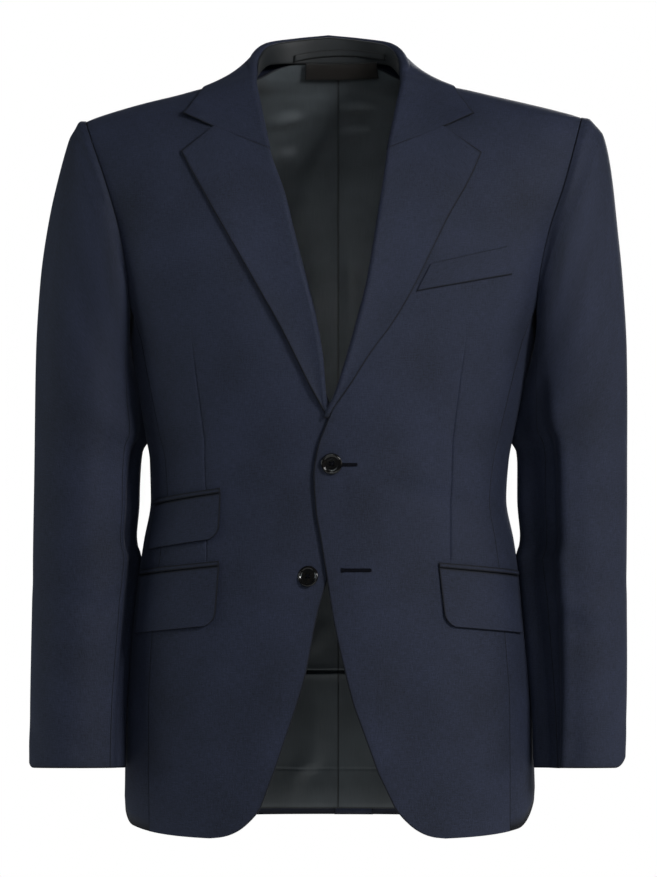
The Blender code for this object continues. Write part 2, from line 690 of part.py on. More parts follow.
def lapel_row(side, share):
    # turn, bend and edge of one row across a lapel, from its lower end at 0 to the gorge at 1
    name = side_name(side)
    end_z = LAPEL_END_Z[side]
    z = end_z + (GORGE_Z - GORGE_GAP - end_z) * share
    turn = np.array([float(by_height(FRONT_EDGE, name, z)), z])
    tip = LAPEL_TIP[side]
    edge_z = end_z + (tip[1] - end_z) * share
    edge = np.array([float(by_height(LAPEL_EDGE, name, edge_z)), edge_z])
    straight = turn + (edge - turn) * LAPEL_BEND
    corner = np.array(NOTCH) - np.array([0, GORGE_GAP])
    bend = straight + (corner - straight) * ramp(share, 0.80, 1.0)
    return turn, bend, edge


def lapel(side):
    inside = CLOTH + LAID + LAPEL / 2
    low = LAID + LAPEL / 2
    rows = []
    for share in LAPEL_ROWS:
        turn, bend, edge = lapel_row(side, share)
        extra = float(front_lift(side, turn[0], turn[1]))
        start = on_front(side * turn[0], turn[1])
        aim = on_front(side * bend[0], bend[1])
        out = outward(start)
        toward = direction(start, aim, out)
        rise = low + (ROLL_HEIGHT - low) * (LOWER_ROLL + (1 - LOWER_ROLL) * ramp(share, 0, 0.35))
        reach = min(FACING_DEPTH, 0.8 * abs(edge[0] - turn[0]))
        foot = [start + toward * reach * part for part in (1.0, 0.5)]
        foot = [settle(p, extra - inside) for p in foot]
        roll = turned_section(start + out * extra, toward, out, rise, inside)
        across = []
        for part in LAPEL_ACROSS:
            if part <= LAPEL_BEND:
                x, z = turn + (bend - turn) * part / LAPEL_BEND
            else:
                x, z = bend + (edge - bend) * (part - LAPEL_BEND) / (1 - LAPEL_BEND)
            lift = float(front_lift(side, x, z)) + low + (rise - low) * (1 - part) ** 3
            place = on_front(side * x, z)
            across.append(place + outward(place) * lift)
        rows.append(np.array(foot + roll + across))
    thick_sheet(f"lapel_{side_name(side)}", np.array(rows), NAVY)


def laid_on(name, side, angles, heights, thickness, colour):
    # flat piece made from the body's own points, moved out
    place = ring(side * angles, heights)
    out = outward(place)
    x = side * place[..., 0]
    lift = front_lift(side, x, heights)[..., None] + LAID
    wall(name, place + out * (lift + thickness), place + out * lift, colour)


def run_back(side, x, z, lengths):
    # angles at distances round the body, from a place in the front view towards the side
    fine, run = measured(side, float(front_angle(side, x, z)), math.pi / 2, z)
    return np.interp(lengths, run, fine)


def pocket(name, side, front, top, drop, length, depth):
    across = np.linspace(0, 1, FLAP_COLUMNS)
    rows, heights = [], []
    for share in FLAP_ROWS:
        to_bottom = depth * (1 - share)
        inset = FLAP_CORNER - to_bottom
        pull = FLAP_CORNER - math.sqrt(FLAP_CORNER ** 2 - inset ** 2) if inset > 0 else 0.0
        rows.append(run_back(side, front, top - depth * share, pull + (length - pull) * across))
        heights.append(top - depth * share - drop * across)
    laid_on(f"flap_{name}", side, np.array(rows), np.array(heights), TRIM, NAVY_TRIM)
    edges = (top + SEAM + JET_DEPTH, top + SEAM)
    rows = [run_back(side, front, z, (length + JET_EXTRA) * across) for z in edges]
    heights = [z - drop * across for z in edges]
    laid_on(f"jet_{name}", side, np.array(rows), np.array(heights), TRIM, NAVY_TRIM)


def breast_welt():
    across = np.linspace(0, 1, 7)
    rows, heights = [], []
    for share in (1, 0.5, 0):
        start = WELT["low_in"] + (WELT["high_in"] - WELT["low_in"]) * share
        end = WELT["low_out"] + (WELT["high_out"] - WELT["low_out"]) * share
        z = WELT["low_z"] + WELT["depth"] * share + WELT["climb"] * across
        rows.append(front_angle(1, start + (end - start) * across, z))
        heights.append(z)
    laid_on("breast_welt", 1, np.array(rows), np.array(heights), TRIM, NAVY_TRIM)


def button(name, side, x, z):
    place = on_front(x, z)
    out = outward(place)
    lift = float(front_lift(side, side * x, z)) + 2 * SEAM
    mesh = bpy.data.meshes.new(name + "_profile")
    points = [(r, 0, h) for r, h in zip(BUTTON_PROFILE["radius"], BUTTON_PROFILE["height"])]
    mesh.from_pydata(points, [(k, k + 1) for k in range(len(points) - 1)], [])
    mesh.materials.append(material(name + "_finish", HORN, 0.35))
    turned = bpy.data.objects.new(name, mesh)
    turned.location = place + out * lift
    turned.rotation_euler = (math.pi / 2 + math.asin(-out[2]), 0, math.atan2(out[0], -out[1]))
    jacket.objects.link(turned)
    screw = turned.modifiers.new("turn", "SCREW")
    screw.steps = screw.render_steps = BUTTON_STEPS
    screw.use_merge_vertices = True
    screw.merge_threshold = 1e-5
    screw.use_normal_calculate = True
    for k in range(4):
        button_hole(turned, k)


def button_hole(turned, k):
    angle = math.pi / 4 + k * math.pi / 2
    bpy.ops.mesh.primitive_cylinder_add(vertices=6, radius=BUTTON_HOLE, depth=0.02)
    cutter = bpy.context.object
    cutter.name = f"{turned.name}_hole_{k}"
    cutter.parent = turned
    cutter.location = (BUTTON_HOLE_SPREAD * math.cos(angle), BUTTON_HOLE_SPREAD * math.sin(angle), 0)
    for holder in cutter.users_collection:
        holder.objects.unlink(cutter)
    cutters.objects.link(cutter)
    cutter.hide_render = True
    cut = turned.modifiers.new(f"hole_{k}", "BOOLEAN")
    cut.operation = "DIFFERENCE"
    cut.solver = "EXACT"
    cut.object = cutter


def inside_strip(name, x, low, high, depth, thickness, colour, roughness):
    # strip lying on the inside of the back neck
    angle = math.pi - np.array([float(front_angle(1, v, 0.0)) for v in x])
    heights = np.array([high, (high + low) / 2, low])
    place = ring(np.broadcast_to(angle, heights.shape), heights)
    out = outward(place)
    wall(name, place - out * depth, place - out * (depth + thickness), colour, roughness)


def neck_pieces():
    in_collar = CLOTH + LINING + 5 * SEAM + LAPEL
    along = np.linspace(-1, 1, 13)
    middle = LOOP["z"] - LOOP["sag"] * along ** 2
    low, high = middle - LOOP["height"] / 2, middle + LOOP["height"] / 2
    x = LOOP["middle"] + LOOP["half"] * along
    inside_strip("hanger_loop", x, low, high, in_collar, LOOP["thickness"], NAVY_TRIM, 0.7)
    x = np.linspace(LABEL["left"], LABEL["right"], 9)
    low, high = np.full_like(x, LABEL["bottom"]), np.full_like(x, LABEL["top"])
    in_lining = CLOTH + LINING + 2 * SEAM + LAID
    inside_strip("neck_label", x, low, high, in_lining, LABEL["thickness"], LABEL_BROWN, 0.6)


def clear_scene():
    for item in list(bpy.data.objects):
        bpy.data.objects.remove(item, do_unlink=True)


clear_scene()
jacket = bpy.data.collections.new("suit_jacket")
cutters = bpy.data.collections.new("cutters")
for group in (jacket, cutters):
    bpy.context.scene.collection.children.link(group)

for own_side in (1, -1):
    front(own_side)
    side_body(own_side)
    back(own_side)
    lining_back(own_side)
    sleeve(own_side)
    lapel(own_side)
collar()
for pocket_name, shape in FLAPS.items():
    pocket(pocket_name, **shape)
breast_welt()
neck_pieces()
for button_name, spot in BUTTONS.items():
    button(button_name, **spot)
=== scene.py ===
import math

import bmesh
import bpy
import numpy as np
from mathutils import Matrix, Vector


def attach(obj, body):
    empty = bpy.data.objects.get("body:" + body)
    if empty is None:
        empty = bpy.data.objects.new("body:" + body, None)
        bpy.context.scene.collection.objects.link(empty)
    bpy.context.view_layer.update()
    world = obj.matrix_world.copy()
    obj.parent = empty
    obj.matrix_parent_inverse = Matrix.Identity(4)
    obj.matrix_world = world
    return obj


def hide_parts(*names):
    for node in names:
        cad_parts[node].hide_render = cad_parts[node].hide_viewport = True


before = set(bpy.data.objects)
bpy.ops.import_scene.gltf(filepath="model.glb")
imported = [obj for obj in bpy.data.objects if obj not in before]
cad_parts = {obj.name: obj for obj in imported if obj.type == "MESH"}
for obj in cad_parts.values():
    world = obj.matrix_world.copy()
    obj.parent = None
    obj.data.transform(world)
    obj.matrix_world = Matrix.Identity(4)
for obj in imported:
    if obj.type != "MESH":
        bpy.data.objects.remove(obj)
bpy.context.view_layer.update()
print("frame:", len(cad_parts), "nodes")


# sizes shared by all the pieces, in metres and close to those of the solids
def table(names, rows):
    return dict(zip(names.split(), np.array(rows, float).T))


thickness = dict(cloth=0.0020, lapel=0.0018, lining=0.0010, trim=0.0014)
gaps = dict(seam=0.0003, laid=0.0004)
# a value for each side is kept under 1 for the wearer's left and -1 for the right
layout = dict(rounding=2.35, backSeamX=0.010, topZ=-0.0262, hemZ=-0.7655,
              overlap=0.0040, overlapX=(0.105, 0.020), overlapZ=(-0.220, -0.350),
              hemRise=0.010, hemRiseCurve=6, hemEase=(-0.620, -0.760),
              hemCorner={1: (0.020, 0.020), -1: (0.010, 0.011)}, cornerCurve=2.2,
              cornerEase=(-0.690, -0.7655),
              turnClear=0.0016, turnEase=(-0.380, -0.350),
              armholeTop={1: -0.0622, -1: -0.0660}, armholeBase=-0.2850, seamStep=135, seamEase=0.12)

body = table("z left right front back", [
    (0.0350, 0.0720, 0.0720, 0.0450, 0.0600),
    (0.0000, 0.0745, 0.0745, 0.0430, 0.0620),
    (-0.0170, 0.0780, 0.0780, 0.0380, 0.0700),
    (-0.0235, 0.0850, 0.0850, 0.0370, 0.0745),
    (-0.0305, 0.1150, 0.1120, 0.0380, 0.0795),
    (-0.0345, 0.1370, 0.1300, 0.0385, 0.0820),
    (-0.0400, 0.1610, 0.1500, 0.0410, 0.0860),
    (-0.0480, 0.1965, 0.1830, 0.0460, 0.0910),
    (-0.0560, 0.2290, 0.2110, 0.0520, 0.0955),
    (-0.0622, 0.2500, 0.2300, 0.0565, 0.0985),
    (-0.0660, 0.2560, 0.2395, 0.0595, 0.1000),
    (-0.0800, 0.2660, 0.2520, 0.0695, 0.1060),
    (-0.1000, 0.2680, 0.2560, 0.0820, 0.1130),
    (-0.1300, 0.2630, 0.2510, 0.0960, 0.1220),
    (-0.1700, 0.2520, 0.2410, 0.1080, 0.1290),
    (-0.2100, 0.2390, 0.2280, 0.1160, 0.1320),
    (-0.2500, 0.2210, 0.2110, 0.1210, 0.1300),
    (-0.2850, 0.2050, 0.1965, 0.1235, 0.1250),
    (-0.3200, 0.1962, 0.1908, 0.1240, 0.1180),
    (-0.3670, 0.1855, 0.1838, 0.1210, 0.1070),
    (-0.4020, 0.1785, 0.1768, 0.1185, 0.1000),
    (-0.4400, 0.1760, 0.1760, 0.1175, 0.0965),
    (-0.4810, 0.1832, 0.1832, 0.1190, 0.1020),
    (-0.5200, 0.1890, 0.1890, 0.1215, 0.1110),
    (-0.5800, 0.1955, 0.1955, 0.1245, 0.1230),
    (-0.6500, 0.2018, 0.2005, 0.1260, 0.1290),
    (-0.7640, 0.2055, 0.2030, 0.1245, 0.1300),
])
armhole = table("z left right", [
    (-0.0622, 0.2500, 0.2400),
    (-0.0660, 0.2490, 0.2395),
    (-0.0800, 0.2450, 0.2350),
    (-0.1300, 0.2310, 0.2180),
    (-0.1800, 0.2165, 0.2055),
    (-0.2300, 0.2085, 0.1985),
    (-0.2850, 0.2050, 0.1965),
])
frontEdge = table("z left right", [
    (-0.0262, 0.0800, 0.0800),
    (-0.0320, 0.0785, 0.0785),
    (-0.0480, 0.0735, 0.0735),
    (-0.0700, 0.0665, 0.0665),
    (-0.0980, 0.0605, 0.0605),
    (-0.1350, 0.0558, 0.0485),
    (-0.1840, 0.0480, 0.0362),
    (-0.2310, 0.0400, 0.0242),
    (-0.2630, 0.0318, 0.0162),
    (-0.3080, 0.0188, 0.0085),
    (-0.3397, 0.0078, 0.0058),
    (-0.3480, 0.0035, 0.0050),
    (-0.3704, -0.0048, -0.0100),
    (-0.3886, -0.0106, -0.0160),
    (-0.4146, -0.0144, -0.0180),
    (-0.4482, -0.0125, -0.0150),
    (-0.4770, -0.0077, -0.0095),
    (-0.5134, -0.0019, 0.0005),
    (-0.5499, 0.0038, 0.0106),
    (-0.6037, 0.0154, 0.0211),
    (-0.6430, 0.0259, 0.0325),
    (-0.6795, 0.0394, 0.0440),
    (-0.7054, 0.0490, 0.0540),
    (-0.7362, 0.0645, 0.0660),
    (-0.7500, 0.0765, 0.0775),
    (-0.7592, 0.0890, 0.0900),
    (-0.7640, 0.1020, 0.1035),
    (-0.7655, 0.1130, 0.1150),
])
sideSeams = table("z front back", [
    (-0.2500, 66.0, 116.0),
    (-0.3600, 64.0, 119.0),
    (-0.4300, 61.0, 122.0),
    (-0.5500, 60.0, 122.0),
    (-0.7640, 57.0, 121.0),
])
backNeck = table("z edge", [
    (-0.0010, 0.0240),
    (-0.0040, 0.0410),
    (-0.0100, 0.0570),
    (-0.0170, 0.0690),
    (-0.0235, 0.0850),
])
lapelEdge = table("z left right", [
    (-0.1006, 0.1495, 0.1436),
    (-0.1290, 0.1368, 0.1280),
    (-0.1640, 0.1168, 0.1085),
    (-0.2000, 0.0990, 0.0876),
    (-0.2365, 0.0810, 0.0668),
    (-0.2715, 0.0600, 0.0470),
    (-0.2955, 0.0420, 0.0348),
    (-0.3291, 0.0205, 0.0182),
    (-0.3450, 0.0092, 0.0092),
    (-0.3530, 0.0036, 0.0048),
    (-0.3600, -0.0012, 0.0004),
    (-0.3680, -0.0044, -0.0080),
])
collarHalf = table("turnX turnY turnZ footX footY footZ edgeX edgeY edgeZ", [
    (0.0000, 0.0610, 0.0216, 0.0000, 0.0600, -0.0025, 0.0000, 0.0880, -0.0230),
    (0.0330, 0.0560, 0.0180, 0.0335, 0.0540, -0.0030, 0.0480, 0.0850, -0.0240),
    (0.0600, 0.0380, 0.0118, 0.0605, 0.0370, -0.0055, 0.0880, 0.0640, -0.0275),
    (0.0735, 0.0130, -0.0020, 0.0755, 0.0130, -0.0200, 0.1120, 0.0260, -0.0290),
    (0.0755, -0.0070, -0.0130, 0.0800, -0.0070, -0.0310, 0.1200, -0.0060, -0.0335),
    (0.0750, -0.0260, -0.0310, 0.0840, -0.0250, -0.0400, 0.1290, -0.0300, -0.0440),
    (0.0700, -0.0460, -0.0580, 0.0800, -0.0450, -0.0600, 0.1370, -0.0420, -0.0550),
    (0.0605, -0.0800, -0.0980, 0.0700, -0.0770, -0.0925, 0.1420, -0.0480, -0.0645),
])
sleeveRows = table("outZ outLeft outRight inZ middle front back armhole", [
    (-0.0690, 0.2650, 0.2485, -0.2920, 0.004, 0.070, 0.076, 0.97),
    (-0.0830, 0.2745, 0.2570, -0.2990, 0.004, 0.072, 0.077, 0.88),
    (-0.1150, 0.2805, 0.2662, -0.3080, 0.004, 0.073, 0.077, 0.66),
    (-0.1640, 0.2860, 0.2772, -0.3190, 0.004, 0.072, 0.074, 0.38),
    (-0.2240, 0.2920, 0.2858, -0.3350, 0.004, 0.069, 0.070, 0.15),
    (-0.2950, 0.2960, 0.2902, -0.3620, 0.004, 0.066, 0.066, 0.0),
    (-0.3600, 0.2965, 0.2912, -0.3950, 0.003, 0.063, 0.063, 0.0),
    (-0.4300, 0.2962, 0.2920, -0.4400, -0.001, 0.061, 0.060, 0.0),
    (-0.5000, 0.2950, 0.2925, -0.5000, -0.009, 0.058, 0.057, 0.0),
    (-0.5800, 0.2945, 0.2932, -0.5800, -0.021, 0.053, 0.052, 0.0),
    (-0.6400, 0.2935, 0.2936, -0.6400, -0.030, 0.049, 0.048, 0.0),
    (-0.7030, 0.2915, 0.2938, -0.7030, -0.040, 0.046, 0.046, 0.0),
])
# how far the sleeve hangs from the widest line of the body, which it rests on but for a gap at the waist
sleeveGap = table("z clear", [
    (-0.2920, 0.0010),
    (-0.3200, -0.0020),
    (-0.3450, -0.0044),
    (-0.3700, -0.0042),
    (-0.3830, -0.0010),
    (-0.3920, 0.0062),
    (-0.4050, 0.0092),
    (-0.4400, 0.0112),
    (-0.4720, 0.0082),
    (-0.4880, 0.0040),
    (-0.4960, -0.0006),
    (-0.5400, -0.0018),
    (-0.6400, -0.0022),
    (-0.7030, -0.0026),
])


# the form that the jacket keeps
def smooth(xs, ys, at):
    # monotone cubic through the rows, level beyond the first and last
    order = np.argsort(xs)
    xs, ys = xs[order], ys[order]
    step = np.diff(xs)
    slope = np.diff(ys) / step
    tangent = np.zeros_like(ys)
    tangent[0], tangent[-1] = slope[0], slope[-1]
    for k in range(1, len(xs) - 1):
        if slope[k - 1] * slope[k] > 0:
            first = 2 * step[k] + step[k - 1]
            second = step[k] + 2 * step[k - 1]
            tangent[k] = (first + second) / (first / slope[k - 1] + second / slope[k])
    at = np.clip(at, xs[0], xs[-1])
    k = np.clip(np.searchsorted(xs, at) - 1, 0, len(step) - 1)
    t = (at - xs[k]) / step[k]
    here = (1 + 2 * t) * (1 - t) ** 2 * ys[k] + t * (1 - t) ** 2 * step[k] * tangent[k]
    there = t ** 2 * (3 - 2 * t) * ys[k + 1] + t ** 2 * (t - 1) * step[k] * tangent[k + 1]
    return here + there


def byHeight(rows, column, z):
    return smooth(rows["z"], rows[column], z)


def byRow(rows, column, at):
    return smooth(np.arange(len(rows[column]), dtype=float), rows[column], at)


def ramp(value, start, end):
    t = np.clip((value - start) / (end - start), 0, 1)
    return t * t * (3 - 2 * t)


def sideName(side):
    return "left" if side > 0 else "right"


def widths(x, z):
    # half the width of the form at a height, on the side that x is on
    return np.where(x >= 0, byHeight(body, "left", z), byHeight(body, "right", z))


def ring(angle, z):
    # angle from the centre front, positive to the wearer's left
    sine, cosine = np.sin(angle), np.cos(angle)
    depth = np.where(cosine >= 0, byHeight(body, "front", z), byHeight(body, "back", z))
    x = widths(sine, z) * np.sign(sine) * np.abs(sine) ** (2 / layout["rounding"])
    y = -depth * np.sign(cosine) * np.abs(cosine) ** (2 / layout["rounding"])
    return np.stack(np.broadcast_arrays(x, y, z), -1)


def level(p):
    # 1 on the form, less inside it
    x, y, z = np.moveaxis(p, -1, 0)
    depth = np.where(y <= 0, byHeight(body, "front", z), byHeight(body, "back", z))
    power = layout["rounding"]
    return (np.abs(x / widths(x, z)) ** power + np.abs(y / depth) ** power) ** (1 / power)


def steepness(p, reach=2e-4):
    # how fast the level rises, along each axis
    return np.stack([(level(p + s) - level(p - s)) / (2 * reach) for s in np.eye(3) * reach], -1)


def outward(p):
    rise = steepness(p)
    return rise / np.linalg.norm(rise, axis=-1, keepdims=True)


def settle(p, lift, rule="on"):
    # move points along the normal to a distance from the form, or only out over or in under it
    for _ in range(5):
        rise = steepness(p)
        size = np.linalg.norm(rise, axis=-1)
        move = lift - (level(p) - 1) / size
        if rule == "over":
            move = np.maximum(move, 0)
        if rule == "under":
            move = np.minimum(move, 0)
        p = p + rise * (move / size)[..., None]
    return p


def onFront(x, z):
    # the point of the front of the form behind x and z
    depth = byHeight(body, "front", z)
    inside = np.clip(1 - np.abs(x / widths(x, z)) ** layout["rounding"], 0, 1)
    return np.stack(np.broadcast_arrays(x, -depth * inside ** (1 / layout["rounding"]), z), -1)


def frontAngle(side, x, z):
    # the ring angle of a place on the front
    ratio = np.clip(np.abs(x) / widths(side * x, z), 0, 1)
    return np.sign(x) * np.arcsin(ratio ** (layout["rounding"] / 2))


def behind(side, x, z):
    # the same of a place on the back, counted round by way of this side
    return math.pi - side * frontAngle(1, x, z)


def armholeHeights(side, steps):
    # steps are degrees round the armhole from its top
    top = layout["armholeTop"][side]
    base = layout["armholeBase"]
    return (top + base) / 2 + (top - base) / 2 * np.cos(np.radians(steps))


def armholeAngle(side, z):
    return frontAngle(side, byHeight(armhole, sideName(side), z), z)


def sideSeam(side, which, z):
    # the side seams start on the armhole and ease into their own line
    meeting = armholeHeights(side, layout["seamStep"])
    start = armholeAngle(side, meeting)
    if which == "back":
        start = math.pi - start
    line = np.radians(byHeight(sideSeams, which, z))
    return start + (line - start) * ramp(z, meeting, meeting - layout["seamEase"])


def cornerRise(inset, width, rise):
    # how far an edge turns up round its corner, at a distance in from it
    return rise * np.clip(1 - inset / width, 0, 1) ** layout["cornerCurve"]


def hemShape(side, angle, z):
    # the hem rises towards the side and turns up round its corner there
    inset = widths(side, z) * (1 - np.abs(np.sin(angle)) ** (2 / layout["rounding"]))
    corner = cornerRise(inset, *layout["hemCorner"][side]) * ramp(z, *layout["cornerEase"])
    rise = layout["hemRise"] * np.sin(angle) ** layout["hemRiseCurve"] * ramp(z, *layout["hemEase"])
    return z + rise + corner


def frontLift(side, x, z):
    # the left front rides over the right one round the fastening
    lift = layout["overlap"] * ramp(x, *layout["overlapX"]) * ramp(z, *layout["overlapZ"])
    return lift if side > 0 else lift * 0


# how the cloth lies: soft troughs, each with a low ridge beside it, and slow waves
troughShape = dict(fadeIn=(-0.05, 0.40), fadeOut=(1.05, 0.60), ridge=0.45, ridgeAt=1.7)


def creases(rows, a, b):
    # each row is a trough from (a0, b0) to (a1, b1), bent sideways by its bow in the middle
    total = np.zeros(np.broadcast(a, b).shape)
    for a0, b0, a1, b1, bow, depth, width in zip(*rows.values()):
        length = math.hypot(a1 - a0, b1 - b0)
        alongA, alongB = (a1 - a0) / length, (b1 - b0) / length
        t = ((a - a0) * alongA + (b - b0) * alongB) / length
        off = (b - b0) * alongA - (a - a0) * alongB - bow * 4 * t * (1 - t)
        taper = ramp(t, *troughShape["fadeIn"]) * ramp(t, *troughShape["fadeOut"])
        near = off / width
        ridge = troughShape["ridge"] * np.exp(-(near - troughShape["ridgeAt"]) ** 2)
        total += depth * taper * (ridge - np.exp(-near ** 2))
    return total


def waves(a, b, size, seed):
    # five sines of unlike lengths and headings, which the seed turns
    total = 0
    for k in range(5):
        heading = seed * 1.7 + k * 2.4
        along = a * math.cos(heading) + b * math.sin(heading)
        total = total + np.sin(along * math.tau / (size * (0.7 + 0.35 * k)) + seed * 3.1 + k * 1.9) / 5
    return total


frontFolds = table("a0 b0 a1 b1 bow depth width", [
    (0.222, -0.115, 0.178, -0.400, 0.006, 0.0050, 0.016),
    (-0.213, -0.115, -0.176, -0.400, -0.006, 0.0050, 0.016),
    (0.030, -0.398, 0.150, -0.372, 0.006, 0.0009, 0.010),
    (0.032, -0.412, 0.160, -0.447, -0.006, 0.0010, 0.011),
    (-0.030, -0.402, -0.150, -0.380, -0.004, 0.0010, 0.011),
    (-0.030, -0.420, -0.120, -0.448, 0.005, 0.0008, 0.010),
    (0.075, -0.560, 0.060, -0.740, 0.006, 0.0012, 0.020),
    (-0.080, -0.580, -0.095, -0.745, -0.006, 0.0012, 0.020),
    (0.150, -0.075, 0.120, -0.200, 0.004, 0.0010, 0.018),
    (-0.150, -0.080, -0.118, -0.200, -0.004, 0.0010, 0.018),
])
backFolds = table("a0 b0 a1 b1 bow depth width", [
    (0.190, -0.130, 0.150, -0.380, -0.010, 0.0036, 0.019),
    (-0.185, -0.130, -0.146, -0.370, 0.010, 0.0034, 0.018),
    (-0.110, -0.420, 0.020, -0.436, 0.004, 0.0012, 0.012),
    (0.035, -0.452, 0.150, -0.428, -0.004, 0.0013, 0.012),
    (-0.070, -0.040, 0.075, -0.042, -0.006, 0.0012, 0.010),
    (0.090, -0.530, 0.120, -0.740, 0.006, 0.0020, 0.024),
    (-0.085, -0.540, -0.118, -0.745, -0.006, 0.0020, 0.024),
])


drapeOnBody = dict(wave=0.0007, waveSize=0.17, seed=1, foldsY=(0.020, 0.060), below=(-0.030, -0.070))


def drape(p):
    x, y, z = np.moveaxis(p, -1, 0)
    slow = drapeOnBody["wave"] * waves(x + 0.6 * y, z - 0.3 * y, drapeOnBody["waveSize"], drapeOnBody["seed"])
    front = creases(frontFolds, x, z) * ramp(-y, *drapeOnBody["foldsY"])
    back = creases(backFolds, x, z) * ramp(y, *drapeOnBody["foldsY"])
    return (slow + front + back) * ramp(z, *drapeOnBody["below"])


# meshes: a cloth piece is a closed shell whose edges are rounded as a turned edge is
edgeSteps = np.array([0.0, 0.0002, 0.0005, 0.0010, 0.0020])


def stops(anchors, counts):
    # places along a row, close together beside each anchor and even between them;
    # where the values fall, the close ones spread over a quarter of the run from each end instead
    columns = []
    for a, b, count in zip(anchors[:-1], anchors[1:], counts):
        room = np.minimum(1.0, (b - a) / (4 * edgeSteps[-1]))
        near = [a + step * room for step in edgeSteps]
        far = [b - step * room for step in edgeSteps[::-1]]
        between = [near[-1] + (far[0] - near[-1]) * k / count for k in range(1, count)]
        columns += near + between + far[:-1]
    columns.append(anchors[-1])
    return np.stack(np.broadcast_arrays(*columns), -1)


def alongRing(side, start, end, z):
    # angles from start to end at a height, with the distance run and the x of each
    fine = np.linspace(start, end, 300)
    path = ring(side * fine, np.full_like(fine, z))
    run = np.concatenate([[0], np.cumsum(np.linalg.norm(np.diff(path, axis=0), axis=1))])
    return fine, run, side * path[:, 0]


def pathLength(points, axis=0):
    step = np.linalg.norm(np.diff(points, axis=axis), axis=-1)
    first = np.zeros_like(np.take(step, [0], axis=axis))
    return np.concatenate([first, np.cumsum(step, axis=axis)], axis=axis)


def gridNormals(grid, closed=False):
    along = np.roll(grid, -1, 1) - np.roll(grid, 1, 1) if closed else np.gradient(grid, axis=1)
    normal = np.cross(along, np.gradient(grid, axis=0))
    return normal / np.maximum(np.linalg.norm(normal, axis=-1, keepdims=True), 1e-12)


def rounded(distance, radius):
    # a quarter circle: 0 on the edge and 1 a radius in
    return np.sqrt(1 - (1 - np.clip(distance / radius, 0, 1)) ** 2)


# a turned edge is rounder than a sewn one, and a wider band of painted shade runs along it, standing for the
# shadow in the gap at its edge
rims = {"free": dict(radius=0.6, shade=0.0022), "seam": dict(radius=0.18, shade=0.0006),
        "join": dict(radius=0.5, shade=0.0011), "flat": dict(radius=0.08, shade=0.0002)}


def edgeShape(across, down, wallThickness, kinds):
    # kinds are those of the first and last column, then of the first and last row
    distances = (across - across[:, :1], across[:, -1:] - across, down - down[:1], down[-1:] - down)
    shape, shade = 1.0, 0.0
    for distance, kind in zip(distances, kinds.split()):
        shape = shape * rounded(distance, rims[kind]["radius"] * wallThickness)
        shade = np.maximum(shade, np.clip(1.4 - 1.4 * distance / rims[kind]["shade"], 0, 1))
    return shape, shade


def link(made):
    bpy.context.scene.collection.objects.link(made)
    return made


def shadeSmooth(mesh):
    mesh.polygons.foreach_set("use_smooth", np.ones(len(mesh.polygons), bool))


def addObject(name, vertices, faces, uvs=None):
    mesh = bpy.data.meshes.new(name)
    mesh.from_pydata(vertices, [], faces)
    if uvs is not None:
        layer = mesh.uv_layers.new(name="cloth")
        index = np.zeros(len(mesh.loops), np.int32)
        mesh.loops.foreach_get("vertex_index", index)
        layer.data.foreach_set("uv", uvs[index].astype(np.float32).ravel())
    shadeSmooth(mesh)
    mesh.update()
    return link(bpy.data.objects.new(name, mesh))


def volume(vertices, faces):
    a, b, c, d = (vertices[faces[:, k]] for k in range(4))
    return np.sum(np.cross(b, c) * a) + np.sum(np.cross(c, d) * a)


def shell(name, face, normal, wallThickness, across, down, kinds="free free free free", edgeShadeShare=1.0):
    # face is the outer side; both sides meet round the rim, and the last argument weakens the painted shade
    # along it
    rows, columns = face.shape[:2]
    shape, shade = edgeShape(across, down, wallThickness, kinds)
    shape, shade = shape[..., None], shade * edgeShadeShare
    half = wallThickness / 2
    outer = face - normal * half * (1 - shape)
    inner = face - normal * half * (1 + shape)
    outerIndex = np.arange(rows * columns).reshape(rows, columns)
    innerIndex = outerIndex.copy()
    inside = (slice(1, -1), slice(1, -1))
    innerIndex[inside] = rows * columns + np.arange((rows - 2) * (columns - 2)).reshape(rows - 2, columns - 2)

    def quads(index):
        return np.stack([index[:-1, :-1], index[:-1, 1:], index[1:, 1:], index[1:, :-1]], -1).reshape(-1, 4)

    vertices = np.concatenate([outer.reshape(-1, 3), inner[inside].reshape(-1, 3)])
    faces = np.concatenate([quads(outerIndex), quads(innerIndex)[:, ::-1]])
    if volume(vertices, faces) < 0:
        faces = faces[:, ::-1]
    uv = np.stack(np.broadcast_arrays(across, -down), -1)
    uvs = np.concatenate([uv.reshape(-1, 2), uv[inside].reshape(-1, 2)])
    made = addObject(name, vertices.tolist(), faces.tolist(), uvs)
    # the painted shade along the rim is kept as a point attribute, which the materials darken by
    paintedEdgeShade = np.concatenate([shade.ravel(), shade[inside].ravel()]).astype(np.float32)
    made.data.attributes.new("paintedEdgeShade", "FLOAT", "POINT").data.foreach_set("value", paintedEdgeShade)
    cellSides = np.cross(face[1:, 1:] - face[:-1, :-1], face[1:, :-1] - face[:-1, 1:])
    area = 0.5 * np.linalg.norm(cellSides, axis=-1).sum()
    made["cut"] = [float(np.ptp(across, axis=1).max()), float(np.ptp(down)), float(area)]
    return made


sheets = []
sewnOn = {}


def dress(piece, node, material, held="draped", restsOn=(), on=None):
    # what every cloth piece says of itself; one too narrow to be a sheet goes with the piece it is sewn to
    piece.data.materials.append(material)
    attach(piece, "root")
    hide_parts(node)
    if on:
        sewnOn.setdefault(on, []).append(piece)
    else:
        sheets.append((piece, held, list(restsOn)))


def declareSheets(easeShare=1.01):
    # cloth is cut a little larger than it lies
    for piece, held, restsOn in sheets:
        width, length, area = (value * easeShare for value in piece["cut"])
        flat = (round(width, 3), round(length, 3))
        area = min(area, flat[0] * flat[1])
        print(f"  {piece.name}: cut {flat[0]} x {flat[1]} m, {area:.4f} m2")


# materials
def colour(text):
    # sRGB hex to linear
    parts = [int(text[k:k + 2], 16) / 255 for k in (1, 3, 5)]
    return (*((v / 12.92 if v <= 0.04045 else ((v + 0.055) / 1.055) ** 2.4) for v in parts), 1)


